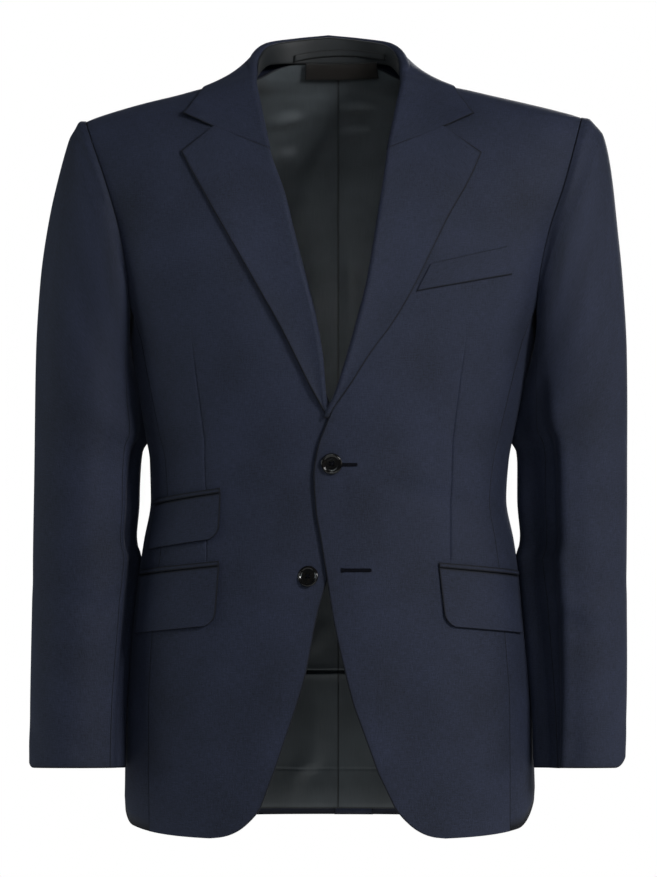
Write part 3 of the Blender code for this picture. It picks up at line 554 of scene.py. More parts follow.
def addNode(tree, kind, settings=None, inputs=None):
    # an input takes a plain value, a socket, or a node whose first output is meant
    made = tree.nodes.new(kind)
    for key, value in (settings or {}).items():
        setattr(made, key, value)
    for key, value in (inputs or {}).items():
        if isinstance(value, bpy.types.Node):
            value = value.outputs[0]
        if isinstance(value, bpy.types.NodeSocket):
            tree.links.new(value, made.inputs[key])
        else:
            made.inputs[key].default_value = value
    return made


def newMaterial(name, plain):
    made = bpy.data.materials.new(name)
    made.use_nodes = True
    shader = made.node_tree.nodes["Principled BSDF"]
    for key, value in plain.items():
        shader.inputs[key].default_value = value
    return made, made.node_tree, shader


def paintEdgeShade(tree, shader, base, dark, share):
    # paints shade along the edges, seams and gaps, where the point attribute says so
    paintedEdgeShade = addNode(tree, "ShaderNodeAttribute", {"attribute_name": "paintedEdgeShade"}).outputs["Fac"]
    amount = addNode(tree, "ShaderNodeMath", {"operation": "MULTIPLY"}, {0: paintedEdgeShade, 1: share})
    edged = addNode(tree, "ShaderNodeMix", {"data_type": "RGBA"},
                    {"Factor": amount, "A": base.outputs["Result"], "B": colour(dark)})
    tree.links.new(edged.outputs["Result"], shader.inputs["Base Color"])
    return paintedEdgeShade


# yarns are 0.4 mm apart on the real cloth, too fine to show, so warp and weft are drawn 1 mm apart
# the near-black edge colour and its share paint the shade that gathers along edges, seams and gaps
worsted = dict(dark="#101520", light="#292f44", paintedEdgeShade="#030408", edge=0.85, yarn=0.0010, streak=0.0075,
               fleck=0.00125, cloud=1 / 14, tone=(1.10, 2.70), nap=0.05, napTint="#8f9ab8")


def worstedWool(name, look):
    # fine worsted in two shades of yarn: a matt navy with short pale flecks each way
    made, tree, shader = newMaterial(name, {
        "Roughness": 0.78, "Specular IOR Level": 0.28, "Sheen Weight": look["nap"], "Sheen Roughness": 0.45,
        "Sheen Tint": colour(look["napTint"])})
    uv = addNode(tree, "ShaderNodeUVMap", {"uv_map": "cloth"})
    fine, long = 1 / look["yarn"], 1 / look["streak"]
    yarns = []
    for stretch in ((fine, long, 1), (long, fine, 1)):
        along = addNode(tree, "ShaderNodeMapping", None, {"Vector": uv, "Scale": stretch})
        yarns.append(addNode(tree, "ShaderNodeTexNoise", {"noise_dimensions": "2D"},
                             {"Vector": along, "Scale": 1.0, "Detail": 1.5, "Roughness": 0.6}))
    fleck = addNode(tree, "ShaderNodeTexNoise", {"noise_dimensions": "2D"},
                    {"Vector": uv, "Scale": 1 / look["fleck"], "Detail": 1.0})
    cloud = addNode(tree, "ShaderNodeTexNoise", {"noise_dimensions": "2D"},
                    {"Vector": uv, "Scale": 1 / look["cloud"], "Detail": 2.0})
    woven = addNode(tree, "ShaderNodeMath", {"operation": "ADD"}, {0: yarns[0], 1: yarns[1]})
    woven = addNode(tree, "ShaderNodeMath", {"operation": "MULTIPLY_ADD"}, {0: fleck, 1: 0.8, 2: woven})
    woven = addNode(tree, "ShaderNodeMath", {"operation": "ADD"}, {0: cloud, 1: woven})
    tone = addNode(tree, "ShaderNodeMapRange", {"clamp": True},
                   {"Value": woven, "From Min": look["tone"][0], "From Max": look["tone"][1]})
    base = addNode(tree, "ShaderNodeMix", {"data_type": "RGBA"},
                   {"Factor": tone, "A": colour(look["dark"]), "B": colour(look["light"])})
    paintedEdgeShade = paintEdgeShade(tree, shader, base, look["paintedEdgeShade"], look["edge"])
    # the sheen is taken off where the painted edge shade lies
    nap = addNode(tree, "ShaderNodeMath", {"operation": "MULTIPLY_ADD"},
                  {0: paintedEdgeShade, 1: -look["nap"], 2: look["nap"]})
    tree.links.new(nap.outputs[0], shader.inputs["Sheen Weight"])
    bump = addNode(tree, "ShaderNodeBump", None, {"Height": woven, "Strength": 0.30, "Distance": 0.0003})
    tree.links.new(bump.outputs[0], shader.inputs["Normal"])
    return made


# satin threads are 0.1 mm apart, too fine to show, so drawn 0.7 mm apart and 20 mm long
# the near-black edge colour and its share paint the shade along the lining's edges and centre seam
satin = dict(thread=1 / 1400, float=0.020, cloud=0.050, paintedEdgeShade="#050606", edge=0.8)


def satinLining(name, dark, light):
    # smooth viscose satin: darker than the cloth, with a soft low shine along the warp
    made, tree, shader = newMaterial(name, {
        "Roughness": 0.55, "Specular IOR Level": 0.32, "Sheen Weight": 0.08, "Sheen Roughness": 0.5})
    uv = addNode(tree, "ShaderNodeUVMap", {"uv_map": "cloth"})
    along = addNode(tree, "ShaderNodeMapping", None,
                    {"Vector": uv, "Scale": (1 / satin["thread"], 1 / satin["float"], 1)})
    threads = addNode(tree, "ShaderNodeTexNoise", {"noise_dimensions": "2D"},
                      {"Vector": along, "Scale": 1.0, "Detail": 2.0})
    cloud = addNode(tree, "ShaderNodeTexNoise", {"noise_dimensions": "2D"},
                    {"Vector": uv, "Scale": 1 / satin["cloud"], "Detail": 2.0})
    tone = addNode(tree, "ShaderNodeMath", {"operation": "MULTIPLY"}, {0: cloud, 1: 0.7})
    tone = addNode(tree, "ShaderNodeMath", {"operation": "MULTIPLY_ADD"}, {0: threads, 1: 0.3, 2: tone})
    base = addNode(tree, "ShaderNodeMix", {"data_type": "RGBA"},
                   {"Factor": tone, "A": colour(dark), "B": colour(light)})
    paintEdgeShade(tree, shader, base, satin["paintedEdgeShade"], satin["edge"])
    bump = addNode(tree, "ShaderNodeBump", None, {"Height": threads, "Strength": 0.08, "Distance": 0.0002})
    tree.links.new(bump.outputs[0], shader.inputs["Normal"])
    return made


def hornResin(name):
    # cast polyester that copies horn: nearly black with smoky brown clouds 4 mm across, polished
    made, tree, shader = newMaterial(name, {
        "Roughness": 0.14, "Specular IOR Level": 0.4, "Coat Weight": 0.10, "Coat Roughness": 0.06})
    where = addNode(tree, "ShaderNodeTexCoord").outputs["Object"]
    smoke = addNode(tree, "ShaderNodeTexNoise", None,
                    {"Vector": where, "Scale": 260.0, "Detail": 3.0, "Distortion": 1.5})
    clear = addNode(tree, "ShaderNodeMapRange", None, {"Value": smoke, "From Min": 0.45, "From Max": 0.72})
    base = addNode(tree, "ShaderNodeMix", {"data_type": "RGBA"},
                   {"Factor": clear, "A": colour("#030304"), "B": colour("#15120f")})
    tree.links.new(base.outputs["Result"], shader.inputs["Base Color"])
    return made


def sewingThread(name, shade, lit=2.2):
    # mercerised cotton twist: matt, with a fine slanted ply whose raised side is painted lighter, a painted
    # highlight
    made, tree, shader = newMaterial(name, {"Roughness": 0.8, "Specular IOR Level": 0.1})
    where = addNode(tree, "ShaderNodeTexCoord").outputs["Object"]
    ply = addNode(tree, "ShaderNodeTexWave", {"wave_type": "BANDS", "bands_direction": "DIAGONAL"},
                  {"Vector": where, "Scale": 900.0, "Distortion": 1.0})
    # the painted highlight on each ply: the thread's colour made lit times lighter
    raised = tuple(v * lit for v in colour(shade)[:3]) + (1,)
    base = addNode(tree, "ShaderNodeMix", {"data_type": "RGBA"},
                   {"Factor": ply, "A": colour(shade), "B": raised})
    tree.links.new(base.outputs["Result"], shader.inputs["Base Color"])
    return made


suiting = worstedWool("navyWorsted", worsted)
lining = satinLining("greyGreenSatin", "#2a2e31", "#50565a")
# a darker copy of the lining satin, whose darkness is painted shade for the inside of the back neck
shadedStandSatin = satinLining("darkStandSatin", "#0f1214", "#1d2124")
labelTape = satinLining("brownLabelTape", "#14110f", "#1f1b18")
horn = hornResin("darkHornResin")
navyThread = sewingThread("navyThread", "#04050b")
print("materials made")


# body panels
panels = dict(spacing=0.0055, armStep=2.5)


def panelRows(side):
    # heights shared by the panels of a side, so that their seams run together
    fine = np.linspace(layout["topZ"], layout["armholeTop"][side], 400)
    run = pathLength(np.stack([byHeight(body, sideName(side), fine), fine], -1))
    count = int(run[-1] / panels["spacing"])
    shoulder = np.interp(stops([0.0, run[-1]], [count])[:-len(edgeSteps)], run, fine)
    arm = armholeHeights(side, np.arange(0, layout["seamStep"] + 0.1, panels["armStep"]))
    below = stops([arm[-1], layout["hemZ"]], [int((arm[-1] - layout["hemZ"]) / panels["spacing"])])
    return shoulder, arm, below


def placed(side, angles, z, lift=0.0):
    # points over the form as the cloth hangs there, and the way out at each
    place = ring(side * angles, z)
    out = outward(place)
    return place + out * (drape(place) + lift)[..., None], out


def rowSet(side, heights, starts, ends, counts, zero, marks=None, markShares=(0.30, 0.86)):
    # angles and distances of every place on the rows; distances are counted from the angle zero
    angles, across = [], []
    for k, (z, start, end) in enumerate(zip(heights, starts, ends)):
        fine, run, x = alongRing(side, start, end, z)
        anchors = [0.0, run[-1]]
        if marks is not None:
            limits = [share * run[-1] for share in markShares]
            anchors.insert(1, float(np.clip(np.interp(marks[k], x, run), *limits)))
        at = stops([np.array(a) for a in anchors], counts)
        angles.append(np.interp(at, run, fine))
        far = alongRing(side, zero, start, z)[1][-1] * np.sign(start - zero)
        across.append(at + far)
    return np.array(angles), np.array(across)


frontPiece = dict(columns=(16, 14), cornerHeight=0.032, cornerRows=18, dartDepth=0.0012, dartWidth=0.0008,
                  dartTop=(-0.284, -0.304), dartBase=(-0.500, -0.496))
dart = table("z x", [
    (-0.2859, 0.1325),
    (-0.3915, 0.1200),
    (-0.4923, 0.1181),
    (-0.4985, 0.1181),
])


def buildFront(side):
    name = sideName(side)
    shoulder, arm, below = panelRows(side)
    bend = np.sin(np.linspace(0, math.pi / 2, frontPiece["cornerRows"]))
    corner = layout["hemZ"] + frontPiece["cornerHeight"] * (1 - bend)
    heights = np.concatenate([shoulder, arm[:-1], below[below > corner[0] + 0.002], corner])
    setBack = layout["turnClear"] * ramp(heights, *layout["turnEase"])
    starts = frontAngle(side, byHeight(frontEdge, name, heights) + setBack, heights)
    ends = np.where(heights > layout["armholeTop"][side], math.pi / 2, armholeAngle(side, heights))
    ends = np.where(heights < arm[-1], sideSeam(side, "front", heights), ends)
    dartAt = byHeight(dart, "x", heights)
    angles, across = rowSet(side, heights, starts, ends, frontPiece["columns"], 0.0, dartAt)
    z = hemShape(side, angles, heights[:, None])
    x = side * ring(side * angles, z)[..., 0]
    fromDart = (x - byHeight(dart, "x", z)) / frontPiece["dartWidth"]
    inDart = ramp(z, *frontPiece["dartTop"]) * ramp(z, *frontPiece["dartBase"])
    sunk = frontPiece["dartDepth"] * np.exp(-fromDart ** 2) * inDart
    face, out = placed(side, angles, z, frontLift(side, x, z) - sunk)
    down = pathLength(face)[:, face.shape[1] // 2][:, None]
    piece = shell(f"front_{name}_cloth", face, out, thickness["cloth"], across, down, "free seam seam free")
    dress(piece, f"front_{name}", suiting, restsOn=[f"side_body_{name}"])


# the rows under the armhole follow its curve at first; this is how much of it they keep at a height
underArm = table("z rise place", [
    (-0.2850, 0.62, 0.74),
    (-0.3150, 0.30, 0.26),
    (-0.3450, 0.10, 0.00),
    (-0.3750, 0.00, 0.00),
])


def buildSideBody(side):
    name = sideName(side)
    first = layout["seamStep"]
    half = np.concatenate([first + np.array([0, 0.12, 0.3, 0.6, 1.2]),
                           np.arange(first + panels["armStep"], 180.1, panels["armStep"])])
    steps = np.concatenate([half, 360 - half[-2::-1]])
    tops = armholeHeights(side, steps)
    topAngles = armholeAngle(side, tops)
    topAngles = np.where(steps > 180, math.pi - topAngles, topAngles)
    heights = panelRows(side)[2]
    knots = np.concatenate([[heights[0]], underArm["z"], [heights[0] - 0.5]])
    rise, follow = (smooth(knots, np.concatenate([[1], underArm[key], [0]]), heights)
                    for key in ("rise", "place"))
    angles, across, z = [], [], []
    for k, height in enumerate(heights):
        start, end = sideSeam(side, "front", height), sideSeam(side, "back", height)
        fine, run, _ = alongRing(side, start, end, height)
        even = stops([np.array(0.0), np.array(run[-1])], [len(tops) - 2 * len(edgeSteps) + 1])
        # the ends keep some of the armhole's angle too, which leaves them up to 2 mm short of the seams
        at = even * (1 - follow[k]) + np.interp(topAngles, fine, run) * follow[k]
        angles.append(np.interp(at, run, fine))
        across.append(at)
        z.append(height + (tops - tops[0]) * rise[k])
    angles, across = np.array(angles), np.array(across)
    z = hemShape(side, angles, np.array(z))
    face, out = placed(side, angles, z)
    down = pathLength(face)[:, face.shape[1] // 2][:, None]
    piece = shell(f"side_body_{name}_cloth", face, out, thickness["cloth"], across, down,
                  "seam seam seam free")
    dress(piece, f"side_body_{name}", suiting, restsOn=[f"back_{name}"])


backPiece = dict(columns=34, neckRows=12, ventHead=-0.615, underlap=0.036, underlapStart=0.004,
                 underlapDepth=0.0028, underlapRows=28, underlapColumns=8, middleColumn=-8,
                 tuckReach=0.0072, tuckRows=33)


def backRows(side, lowest=None, tucks=()):
    # the heights of a back or a lining, and the ring angle where each row ends at the front or side
    shoulder, arm, below = panelRows(side)
    neckZ = stops([0.0, backNeck["z"][0] - layout["topZ"]], [backPiece["neckRows"]])[:-1]
    heights = np.concatenate([backNeck["z"][0] - neckZ, shoulder, arm[:-1], below])
    if lowest is not None:
        heights = np.concatenate([heights[heights > lowest + 0.004], lowest + edgeSteps[::-1]])
    for tuck in tucks:
        # rows close enough to show a tuck
        near = tuck + np.linspace(backPiece["tuckReach"], -backPiece["tuckReach"], backPiece["tuckRows"])
        above, below = heights[heights > near[0] + 0.001], heights[heights < near[-1] - 0.001]
        heights = np.concatenate([above, near, below])
    limits = math.pi - frontAngle(side, byHeight(backNeck, "edge", heights), heights)
    limits = np.where(heights < backNeck["z"][-1], math.pi / 2, limits)
    limits = np.where(heights < layout["armholeTop"][side], math.pi - armholeAngle(side, heights), limits)
    return heights, np.where(heights < arm[-1], sideSeam(side, "back", heights), limits)


def buildBack(side):
    name = sideName(side)
    heights, limits = backRows(side)
    ends = behind(side, layout["backSeamX"], heights)
    angles, across = rowSet(side, heights, limits, ends, [backPiece["columns"]], math.pi)
    z = hemShape(side, angles, heights[:, None])
    face, out = placed(side, angles, z)
    down = pathLength(face)[:, backPiece["middleColumn"]][:, None]
    piece = shell(f"back_{name}_cloth", face, out, thickness["cloth"], across, down, "seam seam seam free")
    dress(piece, f"back_{name}", suiting, restsOn=[f"lining_back_{name}"])


def buildUnderlap():
    # the part of the right back that runs on under the left one at the vent
    heights = stops([backPiece["ventHead"], layout["hemZ"]], [backPiece["underlapRows"]])
    starts = behind(-1, layout["backSeamX"] - backPiece["underlapStart"], heights)
    ends = behind(-1, layout["backSeamX"] + backPiece["underlap"], heights)
    angles, across = rowSet(-1, heights, starts, ends, [backPiece["underlapColumns"]], math.pi)
    z = hemShape(-1, angles, heights[:, None])
    face, out = placed(-1, angles, z, -backPiece["underlapDepth"])
    down = pathLength(face)[:, 4][:, None]
    piece = shell("vent_underlap_cloth", face, out, thickness["cloth"], across, down)
    dress(piece, "back_right", suiting, held="folded", restsOn=["back_left"])


liningFolds = table("a0 b0 a1 b1 bow depth width", [
    (0.002, -0.040, -0.050, -0.118, 0.006, 0.0064, 0.008),
    (-0.064, -0.064, -0.022, -0.050, 0.003, 0.0050, 0.006),
    (-0.060, -0.104, -0.034, -0.084, 0.003, 0.0042, 0.006),
    (0.052, -0.046, 0.060, -0.125, 0.002, 0.0054, 0.006),
    (0.016, -0.075, 0.040, -0.062, 0.002, 0.0040, 0.005),
    (-0.040, -0.185, -0.022, -0.290, 0.004, 0.0046, 0.008),
    (-0.020, -0.100, -0.060, -0.175, -0.004, 0.0054, 0.010),
    (0.009, -0.0445, 0.052, -0.0425, 0.002, 0.0034, 0.004),
    (0.046, -0.040, 0.030, -0.110, 0.004, 0.0040, 0.008),
    (0.040, -0.100, 0.052, -0.200, 0.004, 0.0034, 0.010),
    (-0.030, -0.130, -0.042, -0.260, 0.004, 0.0034, 0.012),
    (-0.012, -0.235, -0.020, -0.350, 0.003, 0.0024, 0.009),
    (0.020, -0.180, 0.026, -0.300, 0.003, 0.0024, 0.009),
    (-0.006, -0.680, -0.026, -0.728, 0.003, 0.0046, 0.007),
    (-0.026, -0.700, -0.044, -0.745, 0.003, 0.0040, 0.007),
    (0.030, -0.560, 0.024, -0.610, 0.002, 0.0034, 0.008),
    (-0.004, -0.560, -0.020, -0.600, 0.002, 0.0026, 0.009),
])
# the lining hangs to just above the hem, with a deep tuck at the head of the vent and a slight one below it;
# it is drawn in a little over the underlap, and slack but at the neck, the hem and the centre seam
liningPiece = dict(columns=34, hem=-0.7590, wave=0.0013, waveSize=0.09, seed=4,
                   tucks={-0.6174: 0.0058, -0.7183: 0.0005}, tuckWidth=0.0015,
                   tuckRidge=0.35, tuckRidgeWidth=0.0060,
                   overVent=0.0030, overVentX=(0.062, 0.044), overVentZ=(-0.515, -0.585),
                   hang=0.0044, folded=(-0.0060, 0.0026), neckSlack=(-0.022, -0.050),
                   hemSlack=(-0.759, -0.751), seamSlack=(0.62, 0.38), seamReach=0.012)


def buildLining(side):
    name = sideName(side)
    heights, limits = backRows(side, liningPiece["hem"], liningPiece["tucks"])
    ends = behind(side, layout["backSeamX"], heights)
    angles, across = rowSet(side, heights, limits, ends, [liningPiece["columns"]], math.pi)
    z = hemShape(side, angles, heights[:, None])
    x = ring(side * angles, z)[..., 0]
    fromSeam = np.abs(x - layout["backSeamX"])
    overVent = liningPiece["overVent"] * ramp(z, *liningPiece["overVentZ"])
    overVent = overVent * ramp(fromSeam, *liningPiece["overVentX"])
    folds = creases(liningFolds, x, z)
    folds = folds + liningPiece["wave"] * waves(x, z, liningPiece["waveSize"], liningPiece["seed"])
    least, more = liningPiece["seamSlack"]
    slack = ramp(z, *liningPiece["neckSlack"]) * ramp(z, *liningPiece["hemSlack"])
    slack = slack * (least + more * ramp(fromSeam, 0.0, liningPiece["seamReach"]))
    hang = liningPiece["hang"] - np.clip(folds, *liningPiece["folded"])
    for at, depth in liningPiece["tucks"].items():
        near = heights[:, None] - at
        ridge = liningPiece["tuckRidge"] * np.exp(-(near / liningPiece["tuckRidgeWidth"]) ** 2)
        hang = hang + depth * (ridge - np.exp(-(near / liningPiece["tuckWidth"]) ** 2))
    face, out = placed(side, angles, z, -(thickness["cloth"] + gaps["seam"]) - overVent - hang * slack)
    down = pathLength(face)[:, backPiece["middleColumn"]][:, None]
    piece = shell(f"lining_back_{name}_satin", face, out, thickness["lining"], across, down,
                  "free join free free")
    dress(piece, f"lining_back_{name}", lining, held="hung", restsOn=[f"back_{name}"])


for ownSide in (1, -1):
    buildFront(ownSide)
    buildSideBody(ownSide)
    buildBack(ownSide)
    buildLining(ownSide)
buildUnderlap()
print("body panels made")


# sleeves: two-piece, set into the armholes
# places round a sleeve are in degrees from its outer line, positive towards the front
sleevePiece = dict(frontSeam=135, backSeam=-105, step=4.0, set=0.0002, armholeDepth=(0.066, 0.075),
                   spacing=0.0055, headDepth=0.018, headRows=9, turnRounds=6, turnEase=(0.060, 0.040),
                   radius=0.055, wave=0.0006, waveSize=0.12, foldsBelow=(0.01, 0.05), foldsAbove=0.02,
                   outerFolds=0.3, outerReach=(6, 40), cuffEase=0.060, level=0.0034,
                   corner={1: (0.0120, 0.0105), -1: (0.0050, 0.0045)})
# the gathered head rises in a narrow ridge by the seam, and a softer roll runs down the front of the armhole
sleeveHead = dict(rise=0.0026, at=0.0050, width=0.0040, over=(-0.2, 0.6),
                  roll=0.0046, rollIn=(0.0, 0.013), rollOut=(0.085, 0.024), rollAt=94, rollReach=32)
# the arm presses the cloth into a soft edge: how far round it lies at the armpit, the elbow and the cuff,
# the hollow behind it and how sharp it is
sleeveTurn = {1: dict(armpit=116, elbow=102, cuff=120, hollow=0.0125, width=7.0),
              -1: dict(armpit=148, elbow=134, cuff=142, hollow=0.0075, width=10.0)}
turnRun = dict(armpitToElbow=(0.26, 0.06), elbowToCuff=(0.34, 0.66), begins=(0.09, 0.22), lip=0.16,
               hollowFrom=2, hollowWidths=2.4, hollowEnds=(45, 80), innerFlat=(3, 26))
sleeveFolds = table("a0 b0 a1 b1 bow depth width", [
    (0.030, 0.330, 0.120, 0.372, 0.008, 0.0022, 0.011),
    (0.140, 0.352, 0.060, 0.402, -0.006, 0.0018, 0.010),
    (0.000, 0.470, 0.062, 0.520, 0.008, 0.0020, 0.012),
    (0.052, 0.540, 0.000, 0.585, 0.006, 0.0016, 0.011),
    (0.085, 0.500, 0.110, 0.530, 0.004, 0.0012, 0.008),
    (-0.060, 0.300, 0.020, 0.356, 0.006, 0.0024, 0.012),
    (-0.020, 0.400, -0.090, 0.440, -0.006, 0.0020, 0.012),
    (0.030, 0.045, 0.042, 0.250, 0.006, 0.0014, 0.016),
    (0.120, 0.110, 0.110, 0.300, -0.005, 0.0016, 0.013),
])


def armholeRing(side, steps):
    # the armhole's edge over the front and the back
    z = armholeHeights(side, steps)
    angle = armholeAngle(side, z)
    angle = np.where(np.sin(np.radians(steps)) >= 0, angle, math.pi - angle)
    return placed(side, angle, z)[0]


def sleeveSection(side, at, steps):
    # an oval between the outer and inner line, and how much of the armhole's shape it keeps
    value = {name: float(byRow(sleeveRows, name, at)) for name in sleeveRows}
    outer = np.array([side * value[f"out{sideName(side).title()}"], value["middle"], value["outZ"]])
    clear = float(byHeight(sleeveGap, "clear", value["inZ"]))
    beside = side * (float(widths(side, value["inZ"])) + clear)
    inner = np.array([beside, value["middle"], value["inZ"]])
    sine, cosine = np.sin(np.radians(steps)), np.cos(np.radians(steps))
    depth = np.where(sine >= 0, value["front"], value["back"])
    oval = (outer + inner) / 2 + cosine[:, None] * (outer - inner) / 2
    oval[:, 1] -= sine * depth
    return oval, value["armhole"]


def sleeveGrid(side, steps):
    # sections from the armhole to the cuff, spaced evenly down the sleeve
    hole = armholeRing(side, steps) + np.array([side * sleevePiece["set"], 0, 0])
    ends = [ring(side * math.pi / 2, z) for z in (layout["armholeTop"][side], layout["armholeBase"])]
    sine, cosine = np.sin(np.radians(steps)), np.cos(np.radians(steps))
    plain = (ends[0] + ends[1]) / 2 + cosine[:, None] * (ends[0] - ends[1]) / 2
    plain[:, 1] -= sine * np.where(sine >= 0, *sleevePiece["armholeDepth"])
    last = len(sleeveRows["outZ"]) - 1
    coarse = [hole]
    for at in np.linspace(0, last, 12 * last + 1):
        oval, share = sleeveSection(side, at, steps)
        coarse.append(oval + share * (hole - plain))
    coarse = np.array(coarse)
    run = pathLength(coarse).mean(1)
    counts = [sleevePiece["headRows"], int(run[-1] / sleevePiece["spacing"])]
    rows = stops([0.0, sleevePiece["headDepth"], run[-1]], counts)
    index = np.interp(rows, run, np.arange(len(run)))
    low = np.clip(index.astype(int), 0, len(run) - 2)
    grid = coarse[low] + (coarse[low + 1] - coarse[low]) * (index - low)[:, None, None]
    return grid, rows


def sleeveSteps():
    # the top sleeve runs from its back seam to its front one, and the under sleeve on round the inside
    frontSeam, backSeam = sleevePiece["frontSeam"], sleevePiece["backSeam"]
    near = np.array([0.0, 0.2, 0.6, 1.2, 2.2])
    parts = []
    for start, end in ((backSeam, frontSeam), (frontSeam, backSeam + 360)):
        even = np.arange(start + 4.5, end - 4, sleevePiece["step"])
        parts.append(np.concatenate([start + near, even, end - near[::-1]]))
    return parts


def pressedTurn(side, steps, down):
    turn = sleeveTurn[side]
    edge = turn["elbow"] + (turn["armpit"] - turn["elbow"]) * ramp(down, *turnRun["armpitToElbow"])
    edge = edge + (turn["cuff"] - turn["elbow"]) * ramp(down, *turnRun["elbowToCuff"])
    beyond = steps - edge
    start = turnRun["hollowFrom"]
    hollow = ramp(beyond, start, start + turnRun["hollowWidths"] * turn["width"])
    hollow = hollow - ramp(beyond, *turnRun["hollowEnds"])
    lip = turnRun["lip"] * np.exp(-(beyond / turn["width"]) ** 2)
    return turn["hollow"] * (lip - hollow) * ramp(down, *turnRun["begins"])


def sleeveLift(side, steps, down):
    # how far the cloth stands off the plain tube: folds, the gathered head, the roll and the pressed turn
    around = np.radians((steps + 180) % 360 - 180) * sleevePiece["radius"]
    folds = creases(sleeveFolds, around, down)
    folds = folds + sleevePiece["wave"] * waves(around, down, sleevePiece["waveSize"], 6 + side)
    folds = folds * ramp(down, *sleevePiece["foldsBelow"])
    folds = folds * ramp(down, down[-1], down[-1] - sleevePiece["foldsAbove"])
    least = sleevePiece["outerFolds"]
    folds = folds * (least + (1 - least) * ramp(np.abs(steps), *sleevePiece["outerReach"]))
    head = sleeveHead["rise"] * np.exp(-((down - sleeveHead["at"]) / sleeveHead["width"]) ** 2)
    head = head * ramp(np.cos(np.radians(steps)), *sleeveHead["over"])
    roll = sleeveHead["roll"] * ramp(down, *sleeveHead["rollIn"]) * ramp(down, *sleeveHead["rollOut"])
    roll = roll * np.exp(-((steps - sleeveHead["rollAt"]) / sleeveHead["rollReach"]) ** 2)
    inner = ramp(np.abs(steps - 180), *turnRun["innerFlat"])
    return (folds + head + roll + pressedTurn(side, steps, down)) * inner


def buildSleeve(side):
    name = sideName(side)
    top, under = sleeveSteps()
    steps = np.concatenate([top, under[1:]])
    grid, down = sleeveGrid(side, steps)
    down = down[:, None]
    # ease the turn of the sleevehead
    weight = 0.5 * ramp(down, 0.0, 0.006) * ramp(down, *sleevePiece["turnEase"])
    for _ in range(sleevePiece["turnRounds"]):
        middle = (grid[2:] + grid[:-2]) / 2
        grid[1:-1] += (middle - grid[1:-1]) * weight[1:-1, :, None]
    out = gridNormals(grid[:, :-1], closed=True)
    out = np.concatenate([out, out[:, :1]], 1)
    if np.sum(out * (grid - grid.mean(1, keepdims=True))) < 0:
        out = -out
    face = grid + out * sleeveLift(side, steps[None, :], down)[..., None]
    # the cuff is level in front and turns up round its outer corner
    inset = np.ptp(grid[-1, :, 0]) / 2 * (1 - np.cos(np.radians(steps)))
    raised = cornerRise(inset, *sleevePiece["corner"][side])
    raised = raised + sleevePiece["level"] * np.sin(np.radians(steps))
    face[..., 2] += raised * ramp(down, down[-1] - sleevePiece["cuffEase"], down[-1])
    across = pathLength(face, axis=1)
    split = len(top)
    for piece, columns in (("top_sleeve", slice(0, split)), ("under_sleeve", slice(split - 1, None))):
        made = shell(f"{piece}_{name}_cloth", face[:, columns], out[:, columns], thickness["cloth"],
                     across[:, columns], down, "seam seam seam free")
        dress(made, f"{piece}_{name}", suiting, held="hung",
              restsOn=[f"front_{name}", f"back_{name}"])


for ownSide in (1, -1):
    buildSleeve(ownSide)
print("sleeves made")


# collar and lapels: cloth that turns over an edge on a soft roll
turned = dict(roll=0.0036, rollPoints=13, fallClose=(0.012, 0.006, 0.003, 0.001, 0.0))
collarPiece = dict(across=62, endStep=0.06, fall=30,
                   legClose=(0.0, 0.01, 0.03, 0.08), legShares=(0.16, 0.80, 6),
                   laidFrom=(4.0, 6.0), flare=0.0034, flareFrom=(6.0, 7.0), flareOut=(0.55, 1.0),
                   plainFrom=(0.54, 0.62), plainEnd=0.4, facingEnd=4.8, facingColumns=slice(1, 13))
lapelPiece = dict(gorgeZ=-0.098, gorgeGap=-0.0007, notch=(0.1120, -0.0768), bend=0.64, notchFrom=0.80,
                  tips={1: (0.1490, -0.1016), -1: (0.1436, -0.1006)}, ends={1: -0.3600, -1: -0.3660},
                  facing=0.012, facingShare=0.8, lowerRoll=0.35, rollBy=0.35, flare={1: 0.0010, -1: 0.0028},
                  flareBy=0.10, flareFades=(0.25, 1.0), upperFlare=0.3, fall=36)


def turnedSection(turn, toward, out, rise, depth):
    # half a circle round the fold, from under the edge to over it
    middle, radius = (rise - depth) / 2, (rise + depth) / 2
    swing = np.radians(np.linspace(-90, 90, turned["rollPoints"]))
    return [turn + out * (middle + radius * math.sin(a)) - toward * radius * math.cos(a) for a in swing]


def direction(start, end, out):
    # the way from start to end along the cloth
    way = end - start
    way = way - out * np.dot(way, out)
    return way / np.linalg.norm(way)


def facedShell(name, middle, wallThickness, kinds, edgeShadeShare=1.0):
    # a shell round the middle surface of a turned piece
    out = gridNormals(middle)
    across = pathLength(middle, axis=1)
    down = pathLength(middle)[:, middle.shape[1] * 2 // 3][:, None]
    return shell(name, middle + out * wallThickness / 2, out, wallThickness, across, down, kinds, edgeShadeShare)


def edgeParts(start, end, count):
    # shares of a way from start to end, with close ones at the end
    even = np.linspace(start, end, count, endpoint=False)
    return np.concatenate([even, end - np.array(turned["fallClose"])])


